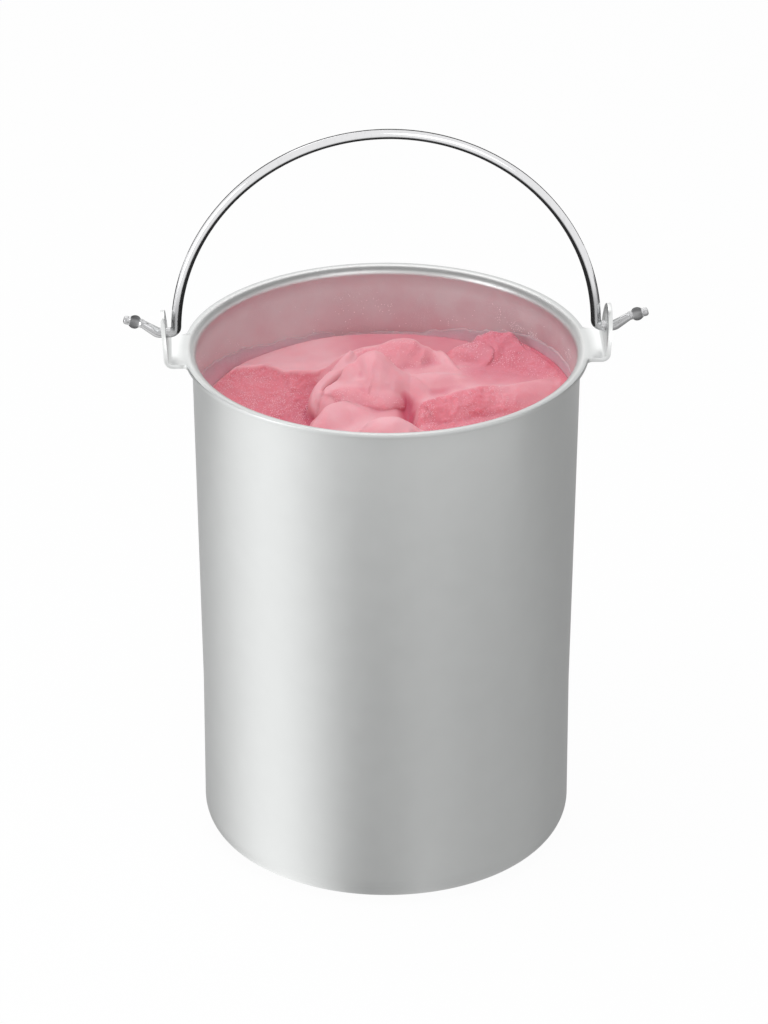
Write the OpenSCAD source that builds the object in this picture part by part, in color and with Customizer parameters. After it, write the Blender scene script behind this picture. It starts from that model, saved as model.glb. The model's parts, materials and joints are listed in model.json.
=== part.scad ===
// Mixing bowl of an ice cream maker: a drawn aluminium bowl with two folded ears,
// a bent wire bail that swings in them, and the ice cream it holds.
// Frame: the origin is at the centre of the flat base, +Z is up, +X runs through the ears.

/* [Bowl] */
// Overall height, from the flat base to the top of the flange
bowl_h = 195.4; // [150:0.1:260]
// Outer radius of the wall just below the flange
wall_r = 70.5; // [60:0.1:90]
// Thickness of the drawn sheet
sheet_t = 1.5; // [1:0.1:2.5]
// Height of the straight lower part of the wall
straight_h = 60; // [30:1:100]
// Loss of outer radius from the flange down to the straight lower part
wall_taper = 2.3; // [0:0.1:6]
// Outer radius of the corner between wall and base
base_corner_r = 11; // [6:0.5:20]
// Reach of the flange beyond the wall
flange_reach = 3.1; // [2.5:0.1:3.1]
// Radius of the rounded shoulder inside the mouth
shoulder_r = 3; // [2:0.1:3.5]

/* [Ears] */
// Width of each ear, along Y
ear_w = 26; // [20:0.5:34]
// Distance from the bowl's axis to the middle of an ear's plate at the hole
ear_x = 80.3; // [80:0.1:84]
// Height of the ear's hole above the flange
hole_rise = 6.9; // [6:0.1:9]
// Outward lean of the ear's plate, in degrees
ear_lean = 5; // [0:0.5:8]
// Inner radius of the fold between tab and plate
fold_r = 1.6; // [1:0.1:2.5]
// Fillet radius where the tab leaves the flange
tab_fillet_r = 2; // [1:0.1:3]

/* [Bail] */
// Diameter of the wire
wire_d = 3.7; // [3:0.1:4.5]
// Radial clearance of the wire in the ear's hole
hole_clearance = 0.2; // [0.1:0.05:0.4]
// Distance from the plates of the ears in to the bail's arch, at the centre of the wire
arch_inset = 4.3; // [2.3:0.1:4.3]
// Height of the arch's centre above the ears' holes
arch_lift = 0.5; // [0:0.1:2]
// Bend radius between the arch and the run through the ear
elbow_r = 2.4; // [2.2:0.1:2.6]
// Bend radius of the wire's end outside the ear
tail_bend_r = 3; // [2.5:0.5:6]
// Upward bend of the wire's end, in degrees
tail_angle = 34; // [24:1:40]
// Straight length of the wire's end, from its bend to the pinched head
tail_length = 6; // [4:0.1:8]
// Diameter of the wire's end where it meets the head
neck_d = 2.9; // [2.4:0.1:3.4]
// Slope of the pinched head, in degrees
head_angle = 14; // [5:1:19]
// Width of the pinched head, in the plane of the bail
head_w = 5.4; // [4.6:0.1:6]
// Thickness of the pinched head at its thinnest
head_t = 1.7; // [1:0.1:2.2]
// Diameter of the nub beyond the pinch
nub_d = 3; // [2.2:0.1:3.4]

/* [Ice cream] */
// Mean depth of the surface below the flange
ice_depth = 26; // [20:0.5:60]
// Gap between the ice cream and the bowl
ice_gap = 0.3; // [0.2:0.05:0.6]
// Rings of facets across the surface
ice_rings = 26; // [12:1:30]
// Facets round the surface
ice_sectors = 84; // [48:4:90]

/* [Hidden] */
fine = 180;

base_r = wall_r - wall_taper;
flange_r = wall_r + flange_reach;
flange_z = bowl_h - sheet_t;
wall_top_z = bowl_h - shoulder_r;
shoulder_x = wall_r - sheet_t + shoulder_r;
hole_z = bowl_h + hole_rise;
hole_d = wire_d + 2 * hole_clearance;
wire_r = wire_d / 2;

// The fold's centre lies where the plate's middle comes to ear_x at the hole's height.
fold_mid_r = fold_r + sheet_t / 2;
fold_z = bowl_h + fold_r;
plate_run = (hole_rise - fold_r + fold_mid_r * sin(ear_lean)) / cos(ear_lean);
fold_x = ear_x - fold_mid_r * cos(ear_lean) - plate_run * sin(ear_lean);
ear_round_r = ear_w / 2;
// Flats round a fold, few enough to stay plain planes.
fold_steps = 16;
// Far enough out to miss the rounded shoulder, far enough in to lie in the flange.
tab_root_x = shoulder_x + 0.2;
// Step left at each end of a tab's fillet, where a tangent would thin out to nothing.
fillet_step = 0.03;

arch_r = ear_x - arch_inset;
// The arch ends where an elbow, turned outward, comes level with the hole.
arch_z = hole_z + arch_lift;
arch_start = asin((elbow_r - arch_lift) / (arch_r + elbow_r));
elbow_x = (arch_r + elbow_r) * cos(arch_start);
tail_x = ear_x + sheet_t;
// Swelling of the wire where it is bent tightly, and the lap of a straight length into a bend.
bend_swell = 0.03;
lap = 0.02;
// Set-back of the head, which closes the wedge between it and the sloping tail.
head_setback = 0.3;
collar_d = neck_d + 0.1;
// Stations of the head along its own axis, from the neck to the nub's end.
pinch_x = 2.6;
pinch_end = 4.9;
nub_end = 6.7;
die_r = 3.2;

// Folds of ice cream, each a crest with a near side and a far side:
// [x, y, half length, near width, far width, turn, depth of the crest below the flange].
ICE_FOLDS = [
    [-19, 22, 14, 7, 10, 232, 17.5],
    [-2, 14, 22, 24, 7, -12, 11],
    [8, 35, 16, 16, 8, -8, 14.5],
    [21, 37, 5, 3.5, 3.5, 70, 19],
    [43, 43, 17, 22, 8, -25, 16],
    [34, 33, 9, 6, 6, -35, 18],
    [28, 0, 23, 9, 24, 25, 18],
    [-10, -12, 20, 16, 9, -8, 17],
    [4, -31, 16, 13, 8, 2, 13.5],
    [-36, -34, 23, 15, 13, -40, 20],
    [37, -32, 22, 15, 13, 38, 17.5]
];
// Depth at which every fold runs out, and how squarely its sides fall (0.5 is an ellipse).
fold_foot = 29;
fold_square = 0.65;
// Blend between neighbouring folds, and the width of the level margin at the wall.
fold_blend = 2.2;
ice_margin = 7;
// The surface between the folds rises by this much towards the middle.
ice_crown = 2;
// The hollow scooped out beside the folds: [x, y, radius, depth].
ICE_SCOOP = [-41, 6, 31, 8];
// Steps round the corner at the foot of the ice cream.
ice_corner_steps = 5;

function blend_max(a, b, k) = max(a, b) + pow(max(0, k - abs(a - b)), 2) / (4 * k);

// Squared distance from a fold's crest, where 1 is its foot.
function fold_reach(f, x, y) =
    let (dx = x - f[0], dy = y - f[1])
    let (along = dx * cos(f[5]) + dy * sin(f[5]), across = dy * cos(f[5]) - dx * sin(f[5]))
    pow(along / f[2], 2) + pow(across / (across < 0 ? f[3] : f[4]), 2);

function fold_top(f, x, y) =
    -fold_foot + (fold_foot - f[6]) * pow(max(0, 1 - fold_reach(f, x, y)), fold_square);

function scoop_depth(x, y) =
    let (q = (pow(x - ICE_SCOOP[0], 2) + pow(y - ICE_SCOOP[1], 2)) / pow(ICE_SCOOP[2], 2))
    ICE_SCOOP[3] * pow(max(0, 1 - q), 0.8);

function level_top(x, y) =
    ice_crown * (1 - (x * x + y * y) / pow(ice_edge_r, 2)) - ice_depth - scoop_depth(x, y);

// Height over the flange of the first folds together, as a blend of their tops.
function folds_top(x, y, count) =
    count == 0 ? level_top(x, y)
               : blend_max(folds_top(x, y, count - 1), fold_top(ICE_FOLDS[count - 1], x, y), fold_blend);

// Height of the surface, which settles to its mean depth at the wall.
function ice_top(x, y) =
    let (s = min(1, max(0, (ice_edge_r - norm([x, y])) / ice_margin)))
    let (w = s * s * (3 - 2 * s))
    bowl_h - ice_depth * (1 - w) + folds_top(x, y, len(ICE_FOLDS)) * w;

// Outer radius of the wall, which widens above its straight lower part.
function wall_r_at(z) = base_r + wall_taper * max(0, z - straight_h) / (wall_top_z - straight_h);
ice_edge_r = wall_r_at(bowl_h - ice_depth) - sheet_t - ice_gap;

// Half of a section through the bowl as a solid, set in from the outside by inset.
module bowl_half(inset) {
    corner_r = base_corner_r - inset;
    translate([0, inset]) square([base_r - base_corner_r, corner_r]);
    intersection() {
        translate([base_r - base_corner_r, base_corner_r]) circle(r = corner_r);
        square([base_r, base_corner_r]);
    }
    polygon([
        [0, base_corner_r], [base_r - inset, base_corner_r], [base_r - inset, straight_h],
        [wall_r - inset, wall_top_z], [0, wall_top_z]
    ]);
}

// Section of the rounded shoulder and the flat flange.
module flange_half() {
    intersection() {
        difference() {
            translate([shoulder_x, wall_top_z]) circle(r = shoulder_r);
            translate([shoulder_x, wall_top_z]) circle(r = shoulder_r - sheet_t);
        }
        translate([shoulder_x - shoulder_r, wall_top_z]) square(shoulder_r);
    }
    translate([shoulder_x, flange_z]) square([flange_r - shoulder_x, sheet_t]);
}

module bowl_shell() {
    rotate_extrude($fn = fine) {
        difference() {
            bowl_half(0);
            bowl_half(sheet_t);
        }
        flange_half();
    }
}

// Filler between a tab's edge and the flange, hollowed to a fillet.
module tab_fillet() {
    centre_y = ear_round_r + tab_fillet_r + fillet_step;
    reach = flange_r + tab_fillet_r + fillet_step;
    centre_x = sqrt(reach * reach - centre_y * centre_y);
    touch = flange_r / reach;
    difference() {
        polygon([
            [tab_root_x + 0.5, ear_round_r - 1], [centre_x, ear_round_r - 1], [centre_x, centre_y],
            [centre_x * touch, centre_y * touch], [centre_x * touch - 0.8, centre_y * touch - 0.2]
        ]);
        translate([centre_x, centre_y]) circle(r = tab_fillet_r);
    }
}

// Points along an arc, from one angle to another.
function arc(x, z, radius, from, to, steps) =
    [for (i = [0 : steps]) let (a = from + (to - from) * i / steps) [x + radius * cos(a), z + radius * sin(a)]];

// Section of an ear's strip of sheet: level tab, fold and leaning plate.
module ear_strip() {
    lean = [sin(ear_lean), cos(ear_lean)] * ear_w;
    outside = arc(fold_x, fold_z, fold_r + sheet_t, -90, -ear_lean, fold_steps);
    inside = arc(fold_x, fold_z, fold_r, -ear_lean, -90, fold_steps);
    polygon(concat(
        [[tab_root_x, flange_z]], outside, [outside[fold_steps] + lean, inside[0] + lean],
        inside, [[tab_root_x, bowl_h]]
    ));
}

// One ear, rounded above the fold and drilled for the bail, with fillets at its root.
module ear() {
    difference() {
        intersection() {
            rotate([90, 0, 0]) linear_extrude(2 * ear_w, center = true) ear_strip();
            union() {
                translate([wall_r, 0, fold_z]) rotate([0, 90, 0]) cylinder(h = ear_w, r = ear_round_r, $fn = fine);
                translate([wall_r, -ear_round_r, wall_top_z]) cube([ear_w, ear_w, fold_z - wall_top_z]);
            }
        }
        translate([wall_r, 0, hole_z]) rotate([0, 90, 0]) cylinder(h = ear_w, d = hole_d, $fn = 48);
    }
    for (side = [0, 1]) mirror([0, side, 0])
        translate([0, 0, flange_z]) linear_extrude(sheet_t) tab_fillet();
}

module bowl() {
    color("#c9cccb") {
        bowl_shell();
        ear();
        mirror([1, 0, 0]) ear();
    }
}

// A tight bend of wire that sets out along +X and turns up, towards +Z.
module wire_bend(radius, angle) {
    translate([0, 0, radius]) rotate([90, 0, 0]) rotate(270)
        rotate_extrude(angle = angle, $fn = fine)
            translate([radius, 0]) circle(r = wire_r + bend_swell, $fn = 48);
}

// Places its children at the end of such a bend.
module past_bend(radius, angle) {
    translate([0, 0, radius]) rotate([0, -angle, 0]) translate([0, 0, -radius]) children();
}

// The wire's end, squeezed between two round dies, which leaves a spade and a nub.
module pinched_head() {
    difference() {
        rotate([90, 0, 90]) rotate_extrude($fn = 48) polygon([
            [0, -head_setback], [collar_d / 2, -head_setback], [collar_d / 2, 0.4], [head_w * 0.41, 1.3],
            [head_w / 2, pinch_x], [head_w * 0.44, 3.7], [nub_d / 2 + 0.1, pinch_end - 0.3],
            [nub_d / 2, pinch_end], [nub_d / 2 - 0.05, nub_end - 0.4], [nub_d / 2 - 0.45, nub_end], [0, nub_end]
        ]);
        for (side = [-1, 1])
            translate([pinch_x, side * (head_t / 2 + die_r), -head_w])
                cylinder(h = 2 * head_w, r = die_r, $fn = 48);
    }
}

// The +X end of the wire: elbow, run through the ear, tail and head.
module bail_end() {
    translate([elbow_x, 0, hole_z]) mirror([1, 0, 0]) wire_bend(elbow_r, 90 - arch_start);
    translate([elbow_x - lap, 0, hole_z]) rotate([0, 90, 0])
        cylinder(h = tail_x - elbow_x + 2 * lap, r = wire_r, $fn = 48);
    translate([tail_x, 0, hole_z]) {
        wire_bend(tail_bend_r, tail_angle);
        past_bend(tail_bend_r, tail_angle) {
            translate([-lap, 0, 0]) rotate([0, 90, 0])
                cylinder(h = tail_length + lap, r1 = wire_r, r2 = neck_d / 2, $fn = 48);
            translate([tail_length, 0, 0]) rotate([0, tail_angle - head_angle, 0]) pinched_head();
        }
    }
}

module bail() {
    lap_angle = asin(lap / arch_r);
    color("#b9bbbd") {
        translate([0, 0, arch_z]) rotate([90, 0, 0]) rotate(arch_start - lap_angle)
            rotate_extrude(angle = 180 - 2 * (arch_start - lap_angle), $fn = fine)
                translate([arch_r, 0]) circle(r = wire_r, $fn = 48);
        bail_end();
        mirror([1, 0, 0]) bail_end();
    }
}

// Every ring of points of the ice cream, from the middle of its surface down to its foot.
module ice_cream() {
    corner_r = base_corner_r - sheet_t - ice_gap;
    foot_z = sheet_t + ice_gap;
    surface = [for (i = [1 : ice_rings]) let (r = ice_edge_r * i / ice_rings)
        [for (j = [0 : ice_sectors - 1]) let (a = 360 * j / ice_sectors)
            [r * cos(a), r * sin(a), ice_top(r * cos(a), r * sin(a))]]];
    corner = [for (i = [0 : ice_corner_steps]) let (a = 90 * i / ice_corner_steps)
        [base_r - base_corner_r + corner_r * cos(a), base_corner_r - corner_r * sin(a)]];
    outline = concat([[base_r - sheet_t - ice_gap, straight_h]], corner);
    side = [for (p = outline) [for (j = [0 : ice_sectors - 1]) let (a = 360 * j / ice_sectors)
        [p[0] * cos(a), p[0] * sin(a), p[1]]]];
    rings = concat(surface, side);
    points = concat([[0, 0, ice_top(0, 0)], [0, 0, foot_z]], [for (ring = rings) each ring]);
    last = len(rings) - 1;
    faces = concat(
        [for (j = [0 : ice_sectors - 1]) [0, ring_point(0, j + 1), ring_point(0, j)]],
        [for (i = [0 : last - 1], j = [0 : ice_sectors - 1])
            [ring_point(i, j), ring_point(i, j + 1), ring_point(i + 1, j + 1)]],
        [for (i = [0 : last - 1], j = [0 : ice_sectors - 1])
            [ring_point(i, j), ring_point(i + 1, j + 1), ring_point(i + 1, j)]],
        [for (j = [0 : ice_sectors - 1]) [1, ring_point(last, j), ring_point(last, j + 1)]]
    );
    color("#e08a9c") polyhedron(points, faces);
}

// Index of a point on one of the ice cream's rings, after the two points on its axis.
function ring_point(i, j) = 2 + i * ice_sectors + j % ice_sectors;

bowl();
bail();
ice_cream();
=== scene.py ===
"""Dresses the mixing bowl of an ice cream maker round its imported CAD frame.

The bowl is one drawn aluminium sheet with two folded ears, the bail is one bent wire,
and the ice cream is churned, folded and partly scooped out. Shapes are worked out in
millimetres in the CAD frame, with the origin at the centre of the base, +Z up and +X
through the ears, and their meshes are stored in metres.
"""

import json
import logging
import math
from dataclasses import dataclass
from enum import Enum

import bmesh
import bpy
import numpy as np
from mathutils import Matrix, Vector


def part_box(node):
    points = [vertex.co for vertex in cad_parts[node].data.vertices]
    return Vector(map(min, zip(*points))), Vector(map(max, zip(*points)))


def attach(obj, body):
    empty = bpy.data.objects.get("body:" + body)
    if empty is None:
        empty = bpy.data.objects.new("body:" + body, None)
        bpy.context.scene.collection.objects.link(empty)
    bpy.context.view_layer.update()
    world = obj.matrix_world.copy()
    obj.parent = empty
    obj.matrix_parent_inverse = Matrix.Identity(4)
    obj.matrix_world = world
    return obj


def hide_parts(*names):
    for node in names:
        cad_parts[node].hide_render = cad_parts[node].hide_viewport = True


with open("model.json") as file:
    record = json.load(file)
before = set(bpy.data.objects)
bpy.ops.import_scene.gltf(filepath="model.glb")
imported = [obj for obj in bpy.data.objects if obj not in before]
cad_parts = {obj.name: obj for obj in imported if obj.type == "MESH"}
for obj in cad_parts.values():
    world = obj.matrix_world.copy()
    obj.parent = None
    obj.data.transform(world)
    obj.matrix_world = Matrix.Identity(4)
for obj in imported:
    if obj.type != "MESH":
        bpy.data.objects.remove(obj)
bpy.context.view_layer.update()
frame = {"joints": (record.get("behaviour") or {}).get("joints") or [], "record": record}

MM = 0.001
log = logging.getLogger("mixing_bowl")


class Body(Enum):
    """Moving bodies of the part."""

    BOWL = "bowl"
    BAIL = "bail"


class Slot(Enum):
    """Material slots of the record."""

    ALUMINIUM = "drawn_aluminium"
    WIRE = "bright_wire"
    ICE = "ice_cream"


# ---------------------------------------------------------------- mesh helpers


def make_piece(name: str, points: np.ndarray, faces: list, smooth: bool = True) -> bpy.types.Object:
    """Makes a mesh object from points in millimetres.

    Args:
        name: Name of the object and its mesh.
        points: Rows of x, y, z in millimetres.
        faces: Tuples of point indices, each seen anticlockwise from outside.
        smooth: Whether the faces are shaded smooth.

    Returns:
        The new object, at the origin and linked to the scene.
    """
    mesh = bpy.data.meshes.new(name)
    mesh.from_pydata((np.asarray(points) * MM).tolist(), [], faces)
    mesh.polygons.foreach_set("use_smooth", [smooth] * len(mesh.polygons))
    mesh.update()
    piece = bpy.data.objects.new(name, mesh)
    bpy.context.scene.collection.objects.link(piece)
    return piece


def settle(piece: bpy.types.Object) -> bpy.types.Object:
    """Turns a piece with live modifiers into a plain mesh piece.

    Args:
        piece: The object to evaluate.

    Returns:
        The same object, with its modifiers' result as its mesh.
    """
    depsgraph = bpy.context.evaluated_depsgraph_get()
    mesh = bpy.data.meshes.new_from_object(piece.evaluated_get(depsgraph), depsgraph=depsgraph)
    piece.modifiers.clear()
    old = piece.data
    piece.data = mesh
    bpy.data.meshes.remove(old)
    mesh.name = piece.name
    return piece


def put_float(piece: bpy.types.Object, name: str, values: np.ndarray) -> None:
    """Stores a number for every point of a mesh piece.

    Args:
        piece: The mesh object.
        name: Name of the attribute.
        values: One number for each point.
    """
    attribute = piece.data.attributes.new(name, "FLOAT", "POINT")
    attribute.data.foreach_set("value", np.asarray(values, np.float32))


def smoothstep(low: float, high: float, value: np.ndarray) -> np.ndarray:
    """Smooth rise from 0 at low to 1 at high."""
    t = np.clip((value - low) / (high - low), 0.0, 1.0)
    return t * t * (3.0 - 2.0 * t)


def smooth_max(a: np.ndarray, b: np.ndarray, width: float) -> np.ndarray:
    """Larger of two heights, blended where they differ by less than width."""
    return np.maximum(a, b) + np.maximum(0.0, width - np.abs(a - b)) ** 2 / (4.0 * width)


def through(points: list, steps: int) -> np.ndarray:
    """Draws a smooth curve through points.

    Args:
        points: Rows of numbers that the curve passes through.
        steps: Steps between one point and the next.

    Returns:
        Rows of numbers along a Catmull-Rom curve.
    """
    given = np.array(points, float)
    ends = np.vstack([2 * given[0] - given[1], given, 2 * given[-1] - given[-2]])
    t = np.linspace(0.0, 1.0, steps, endpoint=False)[:, None]
    rows = []
    for i in range(len(given) - 1):
        p0, p1, p2, p3 = ends[i : i + 4]
        rows.append(
            0.5
            * (
                2 * p1
                + (p2 - p0) * t
                + (2 * p0 - 5 * p1 + 4 * p2 - p3) * t**2
                + (3 * p1 - p0 - 3 * p2 + p3) * t**3
            )
        )
    rows.append(given[-1:])
    return np.vstack(rows)


class Ripple:
    """Smooth random waves in space, the same on each run."""

    def __init__(self, seed: int) -> None:
        """Fills the lattice of random heights from a seed."""
        self.lattice = np.random.default_rng(seed).uniform(-1.0, 1.0, (32, 32, 32))

    def at(self, points: np.ndarray, size: float) -> np.ndarray:
        """Reads one octave of the waves.

        Args:
            points: Rows of x, y, z in millimetres.
            size: Distance between neighbouring lattice points in millimetres.

        Returns:
            A number from -1 to 1 for each row.
        """
        scaled = points / size
        cell = np.floor(scaled).astype(int)
        part = scaled - cell
        part = part * part * (3.0 - 2.0 * part)
        total = np.zeros(len(points))
        for corner in range(8):
            bits = np.array([corner & 1, corner >> 1 & 1, corner >> 2 & 1])
            index = (cell + bits) % 32
            weight = np.prod(np.where(bits, part, 1.0 - part), axis=1)
            total += weight * self.lattice[index[:, 0], index[:, 1], index[:, 2]]
        return total

    def layered(self, points: np.ndarray, size: float, octaves: int) -> np.ndarray:
        """Sum of octaves, each half the size and half the height of the one before."""
        return sum(self.at(points + 17.3 * k, size / 2**k) / 2**k for k in range(octaves))


# ---------------------------------------------------------------- node helpers


class Graph:
    """A node tree with short calls that add and join its nodes."""

    def __init__(self, tree: bpy.types.NodeTree) -> None:
        """Wraps a tree and empties it."""
        self.tree = tree
        tree.nodes.clear()

    def add(self, kind: str, inputs: dict | None = None, **settings: object) -> bpy.types.Node:
        """Adds a node.

        Args:
            kind: Type name of the node.
            inputs: For each input's name or number, a value or the output that feeds it.
            settings: Properties of the node itself.

        Returns:
            The new node.
        """
        node = self.tree.nodes.new(kind)
        for key, value in settings.items():
            setattr(node, key, value)
        for key, value in (inputs or {}).items():
            if isinstance(value, bpy.types.NodeSocket):
                self.tree.links.new(value, node.inputs[key])
            else:
                node.inputs[key].default_value = value
        return node

    def math(self, operation: str, a: object, b: object = 0.0) -> bpy.types.NodeSocket:
        """Output of a Math node over two values or sockets."""
        return self.add("ShaderNodeMath", {0: a, 1: b}, operation=operation).outputs[0]

    def vector(self, operation: str, a: object, b: object) -> bpy.types.NodeSocket:
        """Output of a Vector Math node over two vectors or sockets."""
        return self.add("ShaderNodeVectorMath", {0: a, 1: b}, operation=operation).outputs[0]

    def mix(self, fac: object, a: object, b: object) -> bpy.types.NodeSocket:
        """Output of a colour mix from a to b."""
        node = self.add("ShaderNodeMix", {0: fac, 6: a, 7: b}, data_type="RGBA")
        return node.outputs[2]

    def ramp(
        self, value: object, low: float, high: float, to_low: float = 0.0, to_high: float = 1.0
    ) -> bpy.types.NodeSocket:
        """Output of a clamped Map Range node."""
        node = self.add("ShaderNodeMapRange", {0: value, 1: low, 2: high, 3: to_low, 4: to_high})
        return node.outputs[0]


def rgba(red: float, green: float, blue: float) -> tuple:
    """Colour with full opacity."""
    return (red, green, blue, 1.0)


class Effects:
    """Shader node groups that more than one finish uses."""

    def __init__(self) -> None:
        """Builds each group once."""
        self.grain = self._grain()
        self.scratches = self._scratches()
        self.frost = self._frost()

    @staticmethod
    def _group(name: str, inputs: dict, outputs: list) -> tuple:
        """Starts a group.

        Args:
            name: Name of the group.
            inputs: Name of each input and its value.
            outputs: Names of the outputs, all plain numbers.

        Returns:
            The graph, its input node and its output node.
        """
        tree = bpy.data.node_groups.new(name, "ShaderNodeTree")
        graph = Graph(tree)
        for key, value in inputs.items():
            socket = tree.interface.new_socket(name=key, in_out="INPUT", socket_type="NodeSocketFloat")
            socket.default_value = value
        for key in outputs:
            tree.interface.new_socket(name=key, in_out="OUTPUT", socket_type="NodeSocketFloat")
        return graph, graph.add("NodeGroupInput"), graph.add("NodeGroupOutput")

    def _grain(self) -> bpy.types.NodeTree:
        """Two sizes of fine even grain, as a mask round 0.5 and as a height.

        Returns:
            The finished group.
        """
        graph, start, end = self._group("fine_grain", {"Size": 900.0, "Contrast": 1.0}, ["Mask", "Height"])
        place = graph.add("ShaderNodeTexCoord").outputs["Object"]
        fine_scale = start.outputs["Size"]
        fine = graph.add("ShaderNodeTexNoise", {"Vector": place, "Scale": fine_scale, "Detail": 3.0})
        wide_scale = graph.math("MULTIPLY", fine_scale, 0.045)
        wide = graph.add("ShaderNodeTexNoise", {"Vector": place, "Scale": wide_scale, "Detail": 4.0})
        spread = graph.math("SUBTRACT", wide.outputs[0], 0.5)
        mask = graph.math("MULTIPLY_ADD", spread, start.outputs["Contrast"])
        mask.node.inputs[2].default_value = 0.5
        graph.tree.links.new(mask, end.inputs["Mask"])
        graph.tree.links.new(fine.outputs[0], end.inputs["Height"])
        return graph.tree

    def _scratches(self) -> bpy.types.NodeTree:
        """Hairline marks left by drawing and handling, along the piece's Z axis.

        Returns:
            The finished group.
        """
        inputs = {"Size": 700.0, "Stretch": 0.03, "Amount": 0.5}
        graph, start, end = self._group("hairlines", inputs, ["Mask"])
        place = graph.add("ShaderNodeTexCoord").outputs["Object"]
        squeeze = graph.add("ShaderNodeCombineXYZ", {"X": 1.0, "Y": 1.0, "Z": start.outputs["Stretch"]})
        drawn = graph.vector("MULTIPLY", place, squeeze.outputs[0])
        lines = graph.add(
            "ShaderNodeTexNoise", {"Vector": drawn, "Scale": start.outputs["Size"], "Detail": 2.0}
        )
        thin = graph.ramp(lines.outputs[0], 0.52, 0.75)
        graph.tree.links.new(graph.math("MULTIPLY", thin, start.outputs["Amount"]), end.inputs["Mask"])
        return graph.tree

    def _frost(self) -> bpy.types.NodeTree:
        """Patches of small ice crystals, as a mask and a height.

        Returns:
            The finished group.
        """
        graph, start, end = self._group("frost", {"Size": 1400.0, "Cover": 0.5}, ["Mask", "Height"])
        place = graph.add("ShaderNodeTexCoord").outputs["Object"]
        cells = graph.add("ShaderNodeTexVoronoi", {"Vector": place, "Scale": start.outputs["Size"]})
        patch_scale = graph.math("MULTIPLY", start.outputs["Size"], 0.07)
        patch = graph.add("ShaderNodeTexNoise", {"Vector": place, "Scale": patch_scale, "Detail": 5.0})
        point = graph.ramp(cells.outputs["Distance"], 0.45, 0.12)
        low = graph.math("SUBTRACT", 1.0, start.outputs["Cover"])
        shown = graph.math("SUBTRACT", patch.outputs[0], low)
        area = graph.ramp(shown, -0.1, 0.15)
        mask = graph.math("MULTIPLY", point, area)
        graph.tree.links.new(mask, end.inputs["Mask"])
        graph.tree.links.new(mask, end.inputs["Height"])
        return graph.tree

    @staticmethod
    def place(graph: Graph, group: bpy.types.NodeTree, **values: object) -> bpy.types.Node:
        """Adds one of the groups to a material.

        Args:
            graph: The material's graph.
            group: The group to add.
            values: For each of its inputs, the value that this material gives it.

        Returns:
            The group's node.
        """
        node = graph.add("ShaderNodeGroup", node_tree=group)
        for key, value in values.items():
            node.inputs[key].default_value = value
        return node


def new_material(name: str) -> tuple:
    """Starts a material with a Principled shader.

    Args:
        name: Name of the material.

    Returns:
        The material, its graph and its shader node.
    """
    material = bpy.data.materials.new(name)
    material.use_nodes = True
    graph = Graph(material.node_tree)
    shader = graph.add("ShaderNodeBsdfPrincipled")
    output = graph.add("ShaderNodeOutputMaterial")
    graph.tree.links.new(shader.outputs[0], output.inputs[0])
    return material, graph, shader


# ---------------------------------------------------------------- finishes


@dataclass(frozen=True)
class SatinAluminium:
    """Drawn aluminium with a fine matt anodised skin."""

    name: str = "satin_aluminium"
    tone: tuple = (0.60, 0.61, 0.605)
    painted_bright_tone: tuple = (0.79, 0.80, 0.795)
    roughness: float = 0.38
    flange_r: float = 0.0736

    def build(self, effects: Effects) -> bpy.types.Material:
        """Builds the material of the bowl's outside and flange, and of its tabs and ears, which are painted a
        brighter grey as a painted highlight.

        Args:
            effects: The shared node groups.

        Returns:
            The material.
        """
        material, graph, shader = new_material(self.name)
        grain = effects.place(graph, effects.grain, Size=2600.0, Contrast=0.5)
        marks = effects.place(graph, effects.scratches, Size=900.0, Stretch=0.02, Amount=0.35)
        light = rgba(*(min(1.0, c * 1.05) for c in self.tone))
        dark = rgba(*(c * 0.95 for c in self.tone))
        base = graph.mix(grain.outputs["Mask"], dark, light)
        place = graph.add("ShaderNodeTexCoord").outputs["Object"]
        flat = graph.vector("MULTIPLY", place, (1.0, 1.0, 0.0))
        out = graph.add("ShaderNodeVectorMath", {0: flat}, operation="LENGTH").outputs["Value"]
        # Painted highlight: the tabs and ears beyond the flange's radius are painted a brighter grey.
        painted_sheen = graph.ramp(out, self.flange_r, self.flange_r + 0.003)
        base = graph.mix(painted_sheen, base, rgba(*self.painted_bright_tone))
        graph.tree.links.new(base, shader.inputs["Base Color"])
        rough = graph.ramp(grain.outputs["Mask"], 0.2, 0.8, self.roughness - 0.03, self.roughness + 0.03)
        rough = graph.math("SUBTRACT", rough, graph.math("MULTIPLY", marks.outputs["Mask"], 0.05))
        graph.tree.links.new(rough, shader.inputs["Roughness"])
        shader.inputs["Metallic"].default_value = 1.0
        bump = graph.add(
            "ShaderNodeBump", {"Strength": 0.05, "Distance": 0.0002, "Height": grain.outputs["Height"]}
        )
        graph.tree.links.new(bump.outputs[0], shader.inputs["Normal"])
        return material


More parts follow.
